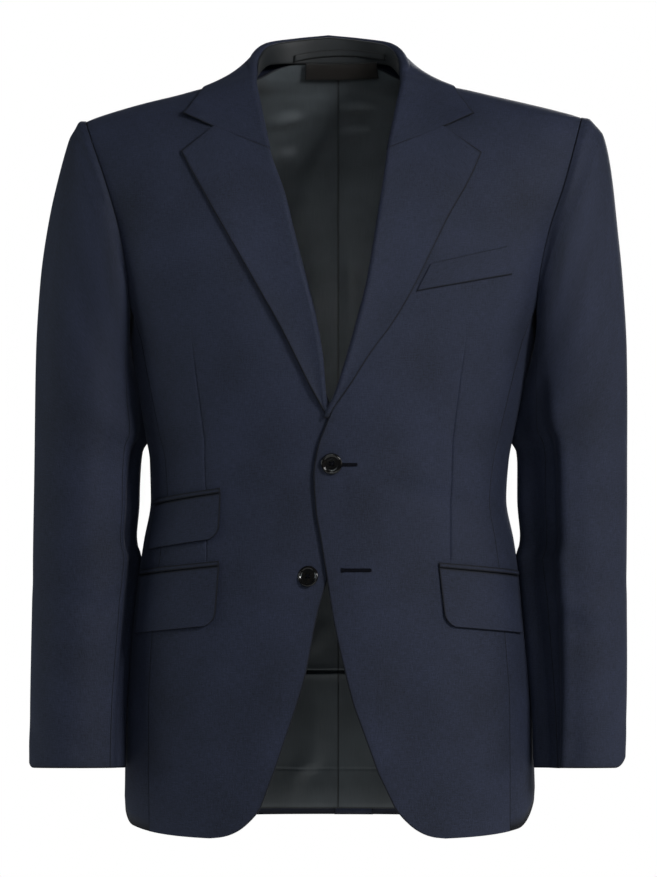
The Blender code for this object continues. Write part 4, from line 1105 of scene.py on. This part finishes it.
def collarSection(station, inside, low):
    # foot to turn inside the neck, the roll over it, then the fall to the outer edge
    sign = 1 if station >= 0 else -1
    at = abs(station)
    value = {name: float(byRow(collarHalf, name, at)) for name in collarHalf}
    turn, foot, edge = (np.array([sign * value[k + "X"], value[k + "Y"], value[k + "Z"]])
                        for k in ("turn", "foot", "edge"))
    turn = settle(turn, 0.0)
    out = outward(turn)
    toward = direction(turn, edge, out)
    shares = np.concatenate([collarPiece["legClose"], np.linspace(*collarPiece["legShares"])])
    leg = settle(foot + (turn - foot) * shares[:, None], -inside, "under")
    roll = turnedSection(turn, toward, out, turned["roll"], inside)
    flatTurn, flatEdge = turn[[0, 2]], edge[[0, 2]]
    edge = settle(edge, low)
    share = edgeParts(0.03, 1.0, collarPiece["fall"])
    flare = ramp(at, *collarPiece["flareFrom"]) * ramp(share, *collarPiece["flareOut"])
    lift = low + (turned["roll"] - low) * (1 - share) ** 3 + collarPiece["flare"] * flare
    bridged = settle(roll[-1] + (edge - roll[-1]) * share[:, None], lift, "over")
    flat = flatTurn + (flatEdge - flatTurn) * share[:, None]
    laid = onFront(flat[:, 0], flat[:, 1])
    laid = laid + outward(laid) * (lift + drape(laid))[:, None]
    fall = bridged + (laid - bridged) * ramp(at, *collarPiece["laidFrom"])
    return np.concatenate([leg, roll, fall]), share


def buildCollar():
    # stations follow the rows of collarHalf, from one gorge end round the neck to the other
    last = len(collarHalf["turnX"]) - 1
    side = np.concatenate([np.linspace(0, last - collarPiece["endStep"], collarPiece["across"]),
                           last - np.array([0.03, 0.015, 0.007, 0.002, 0.0])])
    stations = np.concatenate([-side[:0:-1], side])
    inside = thickness["cloth"] + thickness["lining"] + 3 * gaps["seam"] + thickness["lapel"] / 2
    low = gaps["laid"] + thickness["lapel"] / 2
    sections = [collarSection(station, inside, low) for station in stations]
    middle = np.array([section for section, _ in sections])
    # the end is stitched to the lapel as far as the notch, so the painted edge shade is left off the end
    # there and kept beyond the notch
    share = sections[0][1]
    beyond = np.zeros(middle.shape[1])
    beyond[-len(share):] = ramp(share, *collarPiece["plainFrom"])
    atEnds = ramp(np.abs(stations), last - collarPiece["plainEnd"], last)[:, None]
    edgeShadeShare = 1 - atEnds * (1 - beyond)
    piece = facedShell("collar_cloth", middle, thickness["lapel"], "free free free free", edgeShadeShare)
    dress(piece, "collar", suiting, held="folded", restsOn=["back_left", "back_right"])
    # the inside of the stand is faced with satin, coloured darker than the lining to paint the shade inside
    # the back neck
    middle = middle[np.abs(stations) < collarPiece["facingEnd"]]
    inward = -gridNormals(middle)
    face = middle + inward * (thickness["lapel"] / 2 + gaps["seam"] + thickness["trim"] / 2)
    face, inward = (grid[:, collarPiece["facingColumns"]] for grid in (face, inward))
    across = pathLength(face, axis=1)
    down = pathLength(face)[:, 5][:, None]
    facing = shell("stand_facing_satin", face, inward, thickness["trim"] / 2, across, down)
    dress(facing, "collar", shadedStandSatin, held="laid", restsOn=["collar"])


def lapelRow(side, share):
    # where a row turns, where its upper part bends towards the notch, and its outer edge
    name = sideName(side)
    end, tip = lapelPiece["ends"][side], lapelPiece["tips"][side]
    z = end + (lapelPiece["gorgeZ"] - lapelPiece["gorgeGap"] - end) * share
    turn = np.array([float(byHeight(frontEdge, name, z)), z])
    edgeZ = end + (tip[1] - end) * share
    edge = np.array([float(byHeight(lapelEdge, name, edgeZ)), edgeZ])
    straight = turn + (edge - turn) * lapelPiece["bend"]
    corner = np.array(lapelPiece["notch"]) - np.array([0, lapelPiece["gorgeGap"]])
    return turn, straight + (corner - straight) * ramp(share, lapelPiece["notchFrom"], 1.0), edge


def lapelSection(side, share, inside, low):
    # facing under the front, the roll over its edge, then the lapel out to its own edge
    turn, bend, edge = lapelRow(side, share)
    start = onFront(side * turn[0], turn[1])
    extra = float(frontLift(side, turn[0], turn[1])) + float(drape(start))
    out = outward(start)
    toward = direction(start, onFront(side * bend[0], bend[1]), out)
    least = lapelPiece["lowerRoll"]
    rise = low + (turned["roll"] - low) * (least + (1 - least) * ramp(share, 0, lapelPiece["rollBy"]))
    reach = min(lapelPiece["facing"], lapelPiece["facingShare"] * abs(edge[0] - turn[0]))
    foot = [settle(start + toward * reach * part, extra - inside)
            for part in (1.0, 0.98, 0.93, 0.84, 0.6, 0.4, 0.2)]
    roll = turnedSection(start + out * extra, toward, out, rise, inside)
    part = edgeParts(0.03, 1.0, lapelPiece["fall"])[:, None]
    bendAt = lapelPiece["bend"]
    inner = turn + (bend - turn) * part / bendAt
    outer = bend + (edge - bend) * (part - bendAt) / (1 - bendAt)
    flat = np.where(part <= bendAt, inner, outer)
    place = onFront(side * flat[:, 0], flat[:, 1])
    flare = lapelPiece["flare"][side] * ramp(share, 0.0, lapelPiece["flareBy"])
    flare = flare * (1 - (1 - lapelPiece["upperFlare"]) * ramp(share, *lapelPiece["flareFades"]))
    lift = frontLift(side, flat[:, 0], flat[:, 1]) + low + (rise - low) * (1 - part[:, 0]) ** 3
    lift = lift + flare * part[:, 0] ** 2
    across = place + outward(place) * (lift + drape(place))[:, None]
    return np.concatenate([np.array(foot), np.array(roll), across])


def buildLapel(side):
    name = sideName(side)
    inside = thickness["cloth"] + gaps["laid"] + thickness["lapel"] / 2
    low = gaps["laid"] + thickness["lapel"] / 2
    shares = np.concatenate([[0, 0.001, 0.003, 0.006], np.linspace(0.012, 0.97, 72),
                             [0.985, 0.992, 0.996, 0.9985, 1]])
    middle = np.array([lapelSection(side, share, inside, low) for share in shares])
    piece = facedShell(f"lapel_{name}_cloth", middle, thickness["lapel"], "free free free seam")
    dress(piece, f"lapel_{name}", suiting, held="folded", restsOn=[f"front_{name}"])


buildCollar()
for ownSide in (1, -1):
    buildLapel(ownSide)
print("collar and lapels made")


# pockets
flapPieces = {
    "left": dict(side=1, front=0.1060, top=-0.5046, drop=0.0108, length=0.108, depth=0.0555, slant=0.0062),
    "right": dict(side=-1, front=0.1050, top=-0.5030, drop=0.0120, length=0.108, depth=0.0565, slant=0.0040),
    "ticket": dict(side=-1, front=0.1035, top=-0.4325, drop=0.0132, length=0.090, depth=0.0435, slant=0.0016),
}
pocketPiece = dict(corner=0.012, jet=0.0048, jetExtra=0.004, laid=0.0005, flapKick=0.0018, jetKick=0.0007,
                   columns=26, flapRows=22, jetRows=3)


def laidPiece(name, side, rows, heights, wallThickness, proud=0.0, kinds="free free free free"):
    # a flat piece that lies on the body and follows how the cloth hangs
    place = ring(side * rows, heights)
    x = side * place[..., 0]
    lift = frontLift(side, x, heights) + pocketPiece["laid"] + wallThickness + proud
    face, out = placed(side, rows, heights, lift)
    across = pathLength(face, axis=1)
    down = pathLength(face)[:, face.shape[1] // 2][:, None]
    return shell(name, face, out, wallThickness, across, down, kinds)


def runBack(side, x, z, lengths):
    # the angles at distances back round the body from a place on the front
    fine, run, _ = alongRing(side, float(frontAngle(side, x, z)), math.pi / 2, z)
    return np.interp(lengths, run, fine)


def buildPocket(name, side, front, top, drop, length, depth, slant):
    # the flap hangs from just under its jet, and its lower corner in front is round
    corner, columns = pocketPiece["corner"], [pocketPiece["columns"]]
    falls = stops([0.0, depth], [pocketPiece["flapRows"]])
    rows, heights = [], []
    for fall in falls:
        inset = corner - (depth - fall)
        pull = corner - math.sqrt(max(corner ** 2 - inset ** 2, 0)) if inset > 0 else 0.0
        at = stops([np.array(pull + slant * fall / depth), np.array(length)], columns)
        rows.append(runBack(side, front, top - fall, at))
        heights.append(top - fall - drop * at / length)
    proud = pocketPiece["flapKick"] * (falls[:, None] / depth) ** 2
    flap = laidPiece(f"flap_{name}_cloth", side, np.array(rows), np.array(heights), thickness["trim"], proud)
    dress(flap, f"flap_{name}", suiting, held="hung",
          restsOn=[f"front_{sideName(side)}", f"jet_{name}"])
    high = top + gaps["seam"] + pocketPiece["jet"]
    falls = stops([0.0, pocketPiece["jet"]], [pocketPiece["jetRows"]])
    at = stops([0.0, length + pocketPiece["jetExtra"]], columns)
    share = stops([0.0, length], columns) / length
    rows = np.array([runBack(side, front, high - fall, at) for fall in falls])
    heights = np.array([high - fall - drop * share for fall in falls])
    jet = laidPiece(f"jet_{name}_cloth", side, rows, heights, thickness["trim"], pocketPiece["jetKick"])
    dress(jet, f"jet_{name}", suiting, on=f"flap_{name}_cloth")


welt = dict(lowIn=0.0845, lowOut=0.1775, highIn=0.0985, highOut=0.1722, lowZ=-0.2385, climb=0.0175,
            length=0.090, depth=0.027, columns=24, rows=10)


def buildWelt():
    # a slanting band that climbs towards the armhole
    share = stops([0.0, welt["length"]], [welt["columns"]]) / welt["length"]
    rows, heights = [], []
    for up in (1 - stops([0.0, welt["depth"]], [welt["rows"]]) / welt["depth"]):
        start = welt["lowIn"] + (welt["highIn"] - welt["lowIn"]) * up
        end = welt["lowOut"] + (welt["highOut"] - welt["lowOut"]) * up
        z = welt["lowZ"] + welt["depth"] * up + welt["climb"] * share
        rows.append(frontAngle(1, start + (end - start) * share, z))
        heights.append(z)
    piece = laidPiece("breast_welt_cloth", 1, np.array(rows), np.array(heights), thickness["trim"],
                      kinds="flat flat seam free")
    dress(piece, "breast_welt", suiting, held="laid", restsOn=["front_left"])


for pocketName, shape in flapPieces.items():
    buildPocket(pocketName, **shape)
buildWelt()
print("pockets made")


# inside the back neck
loopPiece = dict(middle=0.0125, half=0.050, height=0.0066, z=0.0085, sag=0.0060, wall=0.0015, columns=40)
labelPiece = dict(left=-0.0243, right=0.0530, top=-0.0012, bottom=-0.0145, depth=0.0076, wall=0.0008,
                  columns=30)


def insideStrip(name, x, low, high, depth, wallThickness):
    # a narrow strip that stands a depth inside the back of the form
    share = stops([0.0, 0.01], [8]) / 0.01
    heights = high + (low - high) * share[:, None]
    angle = np.broadcast_to(math.pi - frontAngle(1, x, 0.0), heights.shape)
    place = ring(angle, heights)
    out = outward(place)
    face = place - out * depth
    across = pathLength(face, axis=1)
    down = pathLength(face)[:, len(x) // 2][:, None]
    return shell(name, face, out, wallThickness, across, down)


def buildNeckPieces():
    along = stops([-1.0, 1.0], [loopPiece["columns"]])
    middle = loopPiece["z"] - loopPiece["sag"] * along ** 2
    half = loopPiece["height"] / 2
    # it lies on the collar stand, which lies on the lining and the back
    under = sum(thickness[layer] for layer in ("cloth", "lining", "lapel"))
    depth = under + thickness["trim"] / 2 + 6 * gaps["seam"]
    strip = insideStrip("hanger_loop_cloth", loopPiece["middle"] + loopPiece["half"] * along, middle - half,
                        middle + half, depth, loopPiece["wall"])
    # the loop takes the same darkened satin, painted shade as on the stand
    dress(strip, "hanger_loop", shadedStandSatin, on="collar_cloth")
    x = stops([labelPiece["left"], labelPiece["right"]], [labelPiece["columns"]])
    low, high = np.full_like(x, labelPiece["bottom"]), np.full_like(x, labelPiece["top"])
    label = insideStrip("neck_label_tape", x, low, high, labelPiece["depth"], labelPiece["wall"])
    dress(label, "neck_label", labelTape, held="laid", restsOn=["lining_back_left"])


buildNeckPieces()
print("neck pieces made")


# buttons, buttonholes and their stitches
def stitchTree():
    # stitches in a row along an edge path, each a small bead of thread
    tree = bpy.data.node_groups.new("stitchRow", "GeometryNodeTree")
    tree.interface.new_socket("Geometry", in_out="INPUT", socket_type="NodeSocketGeometry")
    for name, kind in (("Spacing", "Float"), ("Length", "Float"), ("Thickness", "Float"), ("Across", "Float"),
                       ("Facing", "Vector"), ("Thread", "Material")):
        tree.interface.new_socket(name, in_out="INPUT", socket_type=f"NodeSocket{kind}")
    tree.interface.new_socket("Geometry", in_out="OUTPUT", socket_type="NodeSocketGeometry")
    given = addNode(tree, "NodeGroupInput").outputs
    path = addNode(tree, "GeometryNodeMeshToCurve", None, {"Mesh": given["Geometry"]})
    points = addNode(tree, "GeometryNodeCurveToPoints", {"mode": "LENGTH"},
                     {"Curve": path, "Length": given["Spacing"]})
    crossed = addNode(tree, "ShaderNodeVectorMath", {"operation": "CROSS_PRODUCT"},
                      {0: points.outputs["Tangent"], 1: given["Facing"]})
    heading = addNode(tree, "ShaderNodeMix", {"data_type": "VECTOR"},
                      {"Factor": given["Across"], 4: points.outputs["Tangent"], 5: crossed})
    turn = addNode(tree, "FunctionNodeAlignRotationToVector", {"axis": "Z"}, {"Vector": heading.outputs[1]})
    bead = addNode(tree, "GeometryNodeMeshUVSphere", None, {"Segments": 6, "Rings": 5, "Radius": 0.5})
    size = addNode(tree, "ShaderNodeCombineXYZ", None,
                   {0: given["Thickness"], 1: given["Thickness"], 2: given["Length"]})
    row = addNode(tree, "GeometryNodeInstanceOnPoints", None,
                  {"Points": points, "Instance": bead, "Rotation": turn, "Scale": size})
    real = addNode(tree, "GeometryNodeRealizeInstances", None, {"Geometry": row})
    finished = addNode(tree, "GeometryNodeSetMaterial", None, {"Geometry": real, "Material": given["Thread"]})
    addNode(tree, "NodeGroupOutput", None, {"Geometry": finished})
    return tree


stitches = stitchTree()


def makePlain(made):
    # what the modifiers give becomes the object's own mesh
    before = made.data
    evaluated = made.evaluated_get(bpy.context.evaluated_depsgraph_get())
    plain = bpy.data.meshes.new_from_object(evaluated)
    made.modifiers.clear()
    made.data = plain
    bpy.data.meshes.remove(before)
    shadeSmooth(plain)
    return plain


def stitchRound(name, points, values):
    # stitches along a closed path; the tree's inputs are set by identifier
    count = len(points)
    mesh = bpy.data.meshes.new(name)
    mesh.from_pydata(points.tolist(), [(k, (k + 1) % count) for k in range(count)], [])
    made = link(bpy.data.objects.new(name, mesh))
    modifier = made.modifiers.new("stitches", "NODES")
    modifier.node_group = stitches
    for item in stitches.interface.items_tree:
        if item.in_out == "INPUT" and item.name in values:
            modifier[item.identifier] = values[item.name]
    makePlain(made)
    return made


def frontPlace(side, x, z, lift):
    # a point over the outer face of a front, and the way out there
    place = onFront(x, z)
    out = outward(place)
    return place + out * (drape(place) + frontLift(side, side * x, z) + lift), out


holePieces = {
    "lower": dict(start=0.0125, end=0.0403, z=-0.5067),
    "upper": dict(start=0.0029, end=0.0269, z=-0.4050),
}
purlPiece = dict(half=0.00080, eyelet=0.00065, eyeletReach=0.06, points=40, proud=0.0005,
                 spacing=0.00045, length=0.0021, thickness=0.00070)


def buildButtonhole(name, start, end, z):
    # purl stitches stand side by side across both lips, round an eyelet at the front end
    along = np.linspace(0, 1, purlPiece["points"])
    half = purlPiece["half"] + purlPiece["eyelet"] * np.exp(-(along / purlPiece["eyeletReach"]) ** 2)
    x = start + (end - start) * along
    lips = np.stack([np.concatenate([x, x[::-1]]), z + np.concatenate([half, -half[::-1]])], -1)
    points = np.array([frontPlace(1, *lip, purlPiece["proud"])[0] for lip in lips])
    out = frontPlace(1, (start + end) / 2, z, 0)[1]
    purl = stitchRound(f"buttonhole_{name}_stitches", points, {
        "Spacing": purlPiece["spacing"], "Length": purlPiece["length"], "Thickness": purlPiece["thickness"],
        "Across": 1.0, "Facing": tuple(out), "Thread": navyThread})
    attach(purl, "root")
    sewnOn.setdefault("front_left_cloth", []).append(purl)


for holeName, shape in holePieces.items():
    buildButtonhole(holeName, **shape)

# tilt is how far the face leans to the side and up; the thread stands over the middle and dips into the holes
buttonPiece = dict(proud=0.0006, holes=4, holeRadius=0.00095, spread=0.0021, segments=72, crease=38,
                   strands=(-0.00032, 0.00032), threadRadius=0.00026, threadHeight=0.0026, threadArch=0.0007,
                   threadCross=0.0003, threadDip=0.0030, threadDipFrom=0.86, threadPoints=15)
buttonSpots = {"upper": dict(side=1, x=0.0029, z=-0.4040, tilt=(0.0, 0.0)),
               "lower": dict(side=-1, x=-0.0192, z=-0.5125, tilt=(-0.26, 0.14))}
buttonProfile = table("radius height", [
    (0.0000, 0.0000), (0.0060, 0.0000), (0.0078, 0.0002), (0.0092, 0.0006), (0.0100, 0.0013),
    (0.0102, 0.0018), (0.0101, 0.0024), (0.0098, 0.0029), (0.0093, 0.0033), (0.0086, 0.0034),
    (0.0080, 0.0032), (0.0075, 0.0027), (0.0070, 0.0024), (0.0060, 0.0023), (0.0045, 0.0024),
    (0.0025, 0.0025), (0.0000, 0.0025),
])


def spun(name, profile, segments):
    # a closed round mesh from a profile that starts and ends on its middle line
    builder = bmesh.new()
    angles = np.linspace(0, math.tau, segments, endpoint=False)
    rings = []
    for r, h in zip(profile["radius"], profile["height"]):
        places = [(0, 0, h)] if r == 0 else [(r * math.cos(a), r * math.sin(a), h) for a in angles]
        rings.append([builder.verts.new(place) for place in places])
    for below, above in zip(rings[:-1], rings[1:]):
        for k in range(segments):
            following = (k + 1) % segments
            if len(below) == 1:
                builder.faces.new((below[0], above[following], above[k]))
            elif len(above) == 1:
                builder.faces.new((below[k], below[following], above[0]))
            else:
                builder.faces.new((below[k], below[following], above[following], above[k]))
    bmesh.ops.recalc_face_normals(builder, faces=builder.faces)
    mesh = bpy.data.meshes.new(name)
    builder.to_mesh(mesh)
    builder.free()
    return mesh


def tube(points, radius, sides=8):
    # a round thread along a path, closed at both ends
    points = np.array(points)
    tangent = np.gradient(points, axis=0)
    tangent /= np.linalg.norm(tangent, axis=1, keepdims=True)
    helper = np.array([0.37, 0.61, 0.70])
    first = np.cross(tangent, helper)
    first /= np.linalg.norm(first, axis=1, keepdims=True)
    second = np.cross(tangent, first)
    angles = np.linspace(0, math.tau, sides, endpoint=False)
    rings = (points[:, None] + radius * (np.cos(angles)[None, :, None] * first[:, None] +
                                         np.sin(angles)[None, :, None] * second[:, None]))
    faces = []
    for k in range(len(points) - 1):
        for j in range(sides):
            i = (j + 1) % sides
            faces.append((k * sides + j, k * sides + i, (k + 1) * sides + i, (k + 1) * sides + j))
    faces.append(tuple(range(sides))[::-1])
    faces.append(tuple((len(points) - 1) * sides + j for j in range(sides)))
    return rings.reshape(-1, 3), faces


def unit(vector):
    return vector / np.linalg.norm(vector)


def buttonAxes(out, tilt):
    # right, up and out of the button's face, which is tipped on its thread
    right = unit(np.cross([0, 0, 1.0], out))
    up = np.cross(out, right)
    face = unit(out + right * tilt[0] + up * tilt[1])
    right = unit(right - face * np.dot(right, face))
    return np.stack([right, np.cross(face, right), face])


def buildButton(name, side, x, z, tilt):
    place, out = frontPlace(side, x, z, buttonPiece["proud"])
    axes = buttonAxes(out, tilt)
    made = link(bpy.data.objects.new(f"button_{name}_horn",
                                     spun(f"button_{name}_horn", buttonProfile, buttonPiece["segments"])))
    quarters = [math.pi / 4 + k * math.tau / buttonPiece["holes"] for k in range(buttonPiece["holes"])]
    cutters = []
    for angle in quarters:
        bpy.ops.mesh.primitive_cylinder_add(vertices=20, radius=buttonPiece["holeRadius"], depth=0.02)
        cutter = bpy.context.object
        cutter.location = Vector((math.cos(angle), math.sin(angle), 0)) * buttonPiece["spread"]
        hole = made.modifiers.new("hole", "BOOLEAN")
        hole.operation, hole.solver, hole.object = "DIFFERENCE", "EXACT", cutter
        cutters.append(cutter)
    mesh = makePlain(made)
    for cutter in cutters:
        bpy.data.objects.remove(cutter, do_unlink=True)
    flat = np.zeros(len(mesh.vertices) * 3)
    mesh.vertices.foreach_get("co", flat)
    mesh.vertices.foreach_set("co", (flat.reshape(-1, 3) @ axes + place).ravel())
    mesh.set_sharp_from_angle(angle=math.radians(buttonPiece["crease"]))
    mesh.update()
    mesh.materials.clear()
    mesh.materials.append(horn)
    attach(made, "root")
    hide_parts(f"button_{name}")
    buildThread(name, axes, place, quarters[:2])


def buildThread(name, axes, place, ways):
    # thread crosses between the holes, two strands each way
    t = np.linspace(-1, 1, buttonPiece["threadPoints"])
    vertices, faces = [], []
    for layer, angle in enumerate(ways):
        line = np.array([math.cos(angle), math.sin(angle)])
        height = buttonPiece["threadHeight"] + buttonPiece["threadArch"] * (1 - t ** 2)
        height = height + buttonPiece["threadCross"] * layer
        height = height - buttonPiece["threadDip"] * ramp(np.abs(t), buttonPiece["threadDipFrom"], 1.0)
        for strand in buttonPiece["strands"]:
            across = line * (t * buttonPiece["spread"])[:, None] + np.array([-line[1], line[0]]) * strand
            path = np.column_stack([across, height]) @ axes + place
            more, moreFaces = tube(path, buttonPiece["threadRadius"])
            faces += [tuple(k + len(vertices) for k in face) for face in moreFaces]
            vertices += more.tolist()
    threads = addObject(f"button_{name}_thread", vertices, faces)
    threads.data.materials.append(navyThread)
    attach(threads, "root")


for buttonName, spot in buttonSpots.items():
    buildButton(buttonName, **spot)
print("buttons made")


# studio
studioFloor = dict(radius=1.15, z=-1.05, paint="#e8e8e6")
studioWorld = dict(shown=1.0, strength=0.08, tint=(0.92, 0.96, 1.0, 1))
# soft lamps, each aimed at a point: a key on the wearer's left, fills, a narrow one into the neck, one behind
lamps = {
    "keyLight": dict(where=(2.4, -2.6, 1.1), target=(0, 0, -0.35), size=0.9, power=96),
    "frontLight": dict(where=(-0.3, -3.7, 0.5), target=(0, 0, -0.4), size=1.2, power=15, tint="#effaff"),
    "neckLight": dict(where=(0.05, -2.4, 0.7), target=(0.005, 0.06, -0.22), size=0.3, power=0.085, spread=14),
    "rightLight": dict(where=(3.0, 0.3, 0.0), target=(0, 0, -0.4), size=1.4, power=14),
    "leftLight": dict(where=(-3.0, 0.1, 0.0), target=(0, 0, -0.4), size=1.4, power=22, tint="#effaff"),
    "backLight": dict(where=(0.8, 3.2, 0.7), target=(0, 0, -0.4), size=1.6, power=105),
}
view = dict(where=(0, -3.72, -0.380), sensor=36.0, lens=153.9)


def addStage():
    builder = bmesh.new()
    bmesh.ops.create_circle(builder, cap_ends=True, segments=96, radius=studioFloor["radius"])
    mesh = bpy.data.meshes.new("studio_floor")
    builder.to_mesh(mesh)
    builder.free()
    floor = link(bpy.data.objects.new("studio_floor", mesh))
    floor.location = (0, 0, studioFloor["z"])
    # matt emulsion on board: an even pale grey
    paint = newMaterial("palePaintedFloor", {"Base Color": colour(studioFloor["paint"]), "Roughness": 0.8})[0]
    mesh.materials.append(paint)


def addLight(name, where, target, size, power, tint="#ffffff", spread=180):
    lamp = bpy.data.lights.new(name, "AREA")
    lamp.shape, lamp.size, lamp.energy = "SQUARE", size, power
    lamp.color = colour(tint)[:3]
    lamp.spread = math.radians(spread)
    made = link(bpy.data.objects.new(name, lamp))
    made.location = where
    made.rotation_euler = (Vector(target) - Vector(where)).to_track_quat("-Z", "Y").to_euler()


def addWorld(shown, strength, tint):
    # white behind the jacket, and a faint cool light from all round
    world = bpy.data.worlds.new("studioWorld")
    world.use_nodes = True
    tree = world.node_tree
    tree.nodes.clear()
    ray = addNode(tree, "ShaderNodeLightPath").outputs["Is Camera Ray"]
    plain = addNode(tree, "ShaderNodeBackground", None, {"Color": (1, 1, 1, 1), "Strength": shown})
    light = addNode(tree, "ShaderNodeBackground", None, {"Color": tint, "Strength": strength})
    both = addNode(tree, "ShaderNodeMixShader", None, {0: ray, 1: light, 2: plain})
    addNode(tree, "ShaderNodeOutputWorld", None, {"Surface": both})
    bpy.context.scene.world = world


def addCamera():
    lens = bpy.data.cameras.new("camera")
    lens.sensor_width, lens.lens = view["sensor"], view["lens"]
    camera = link(bpy.data.objects.new("camera", lens))
    camera.location = view["where"]
    camera.rotation_euler = (math.pi / 2, 0, 0)
    bpy.context.scene.camera = camera


addStage()
addWorld(**studioWorld)
for lampName, lamp in lamps.items():
    addLight(lampName, **lamp)
addCamera()
bpy.context.scene.view_settings.view_transform = "Standard"
print("studio made")

declareSheets()
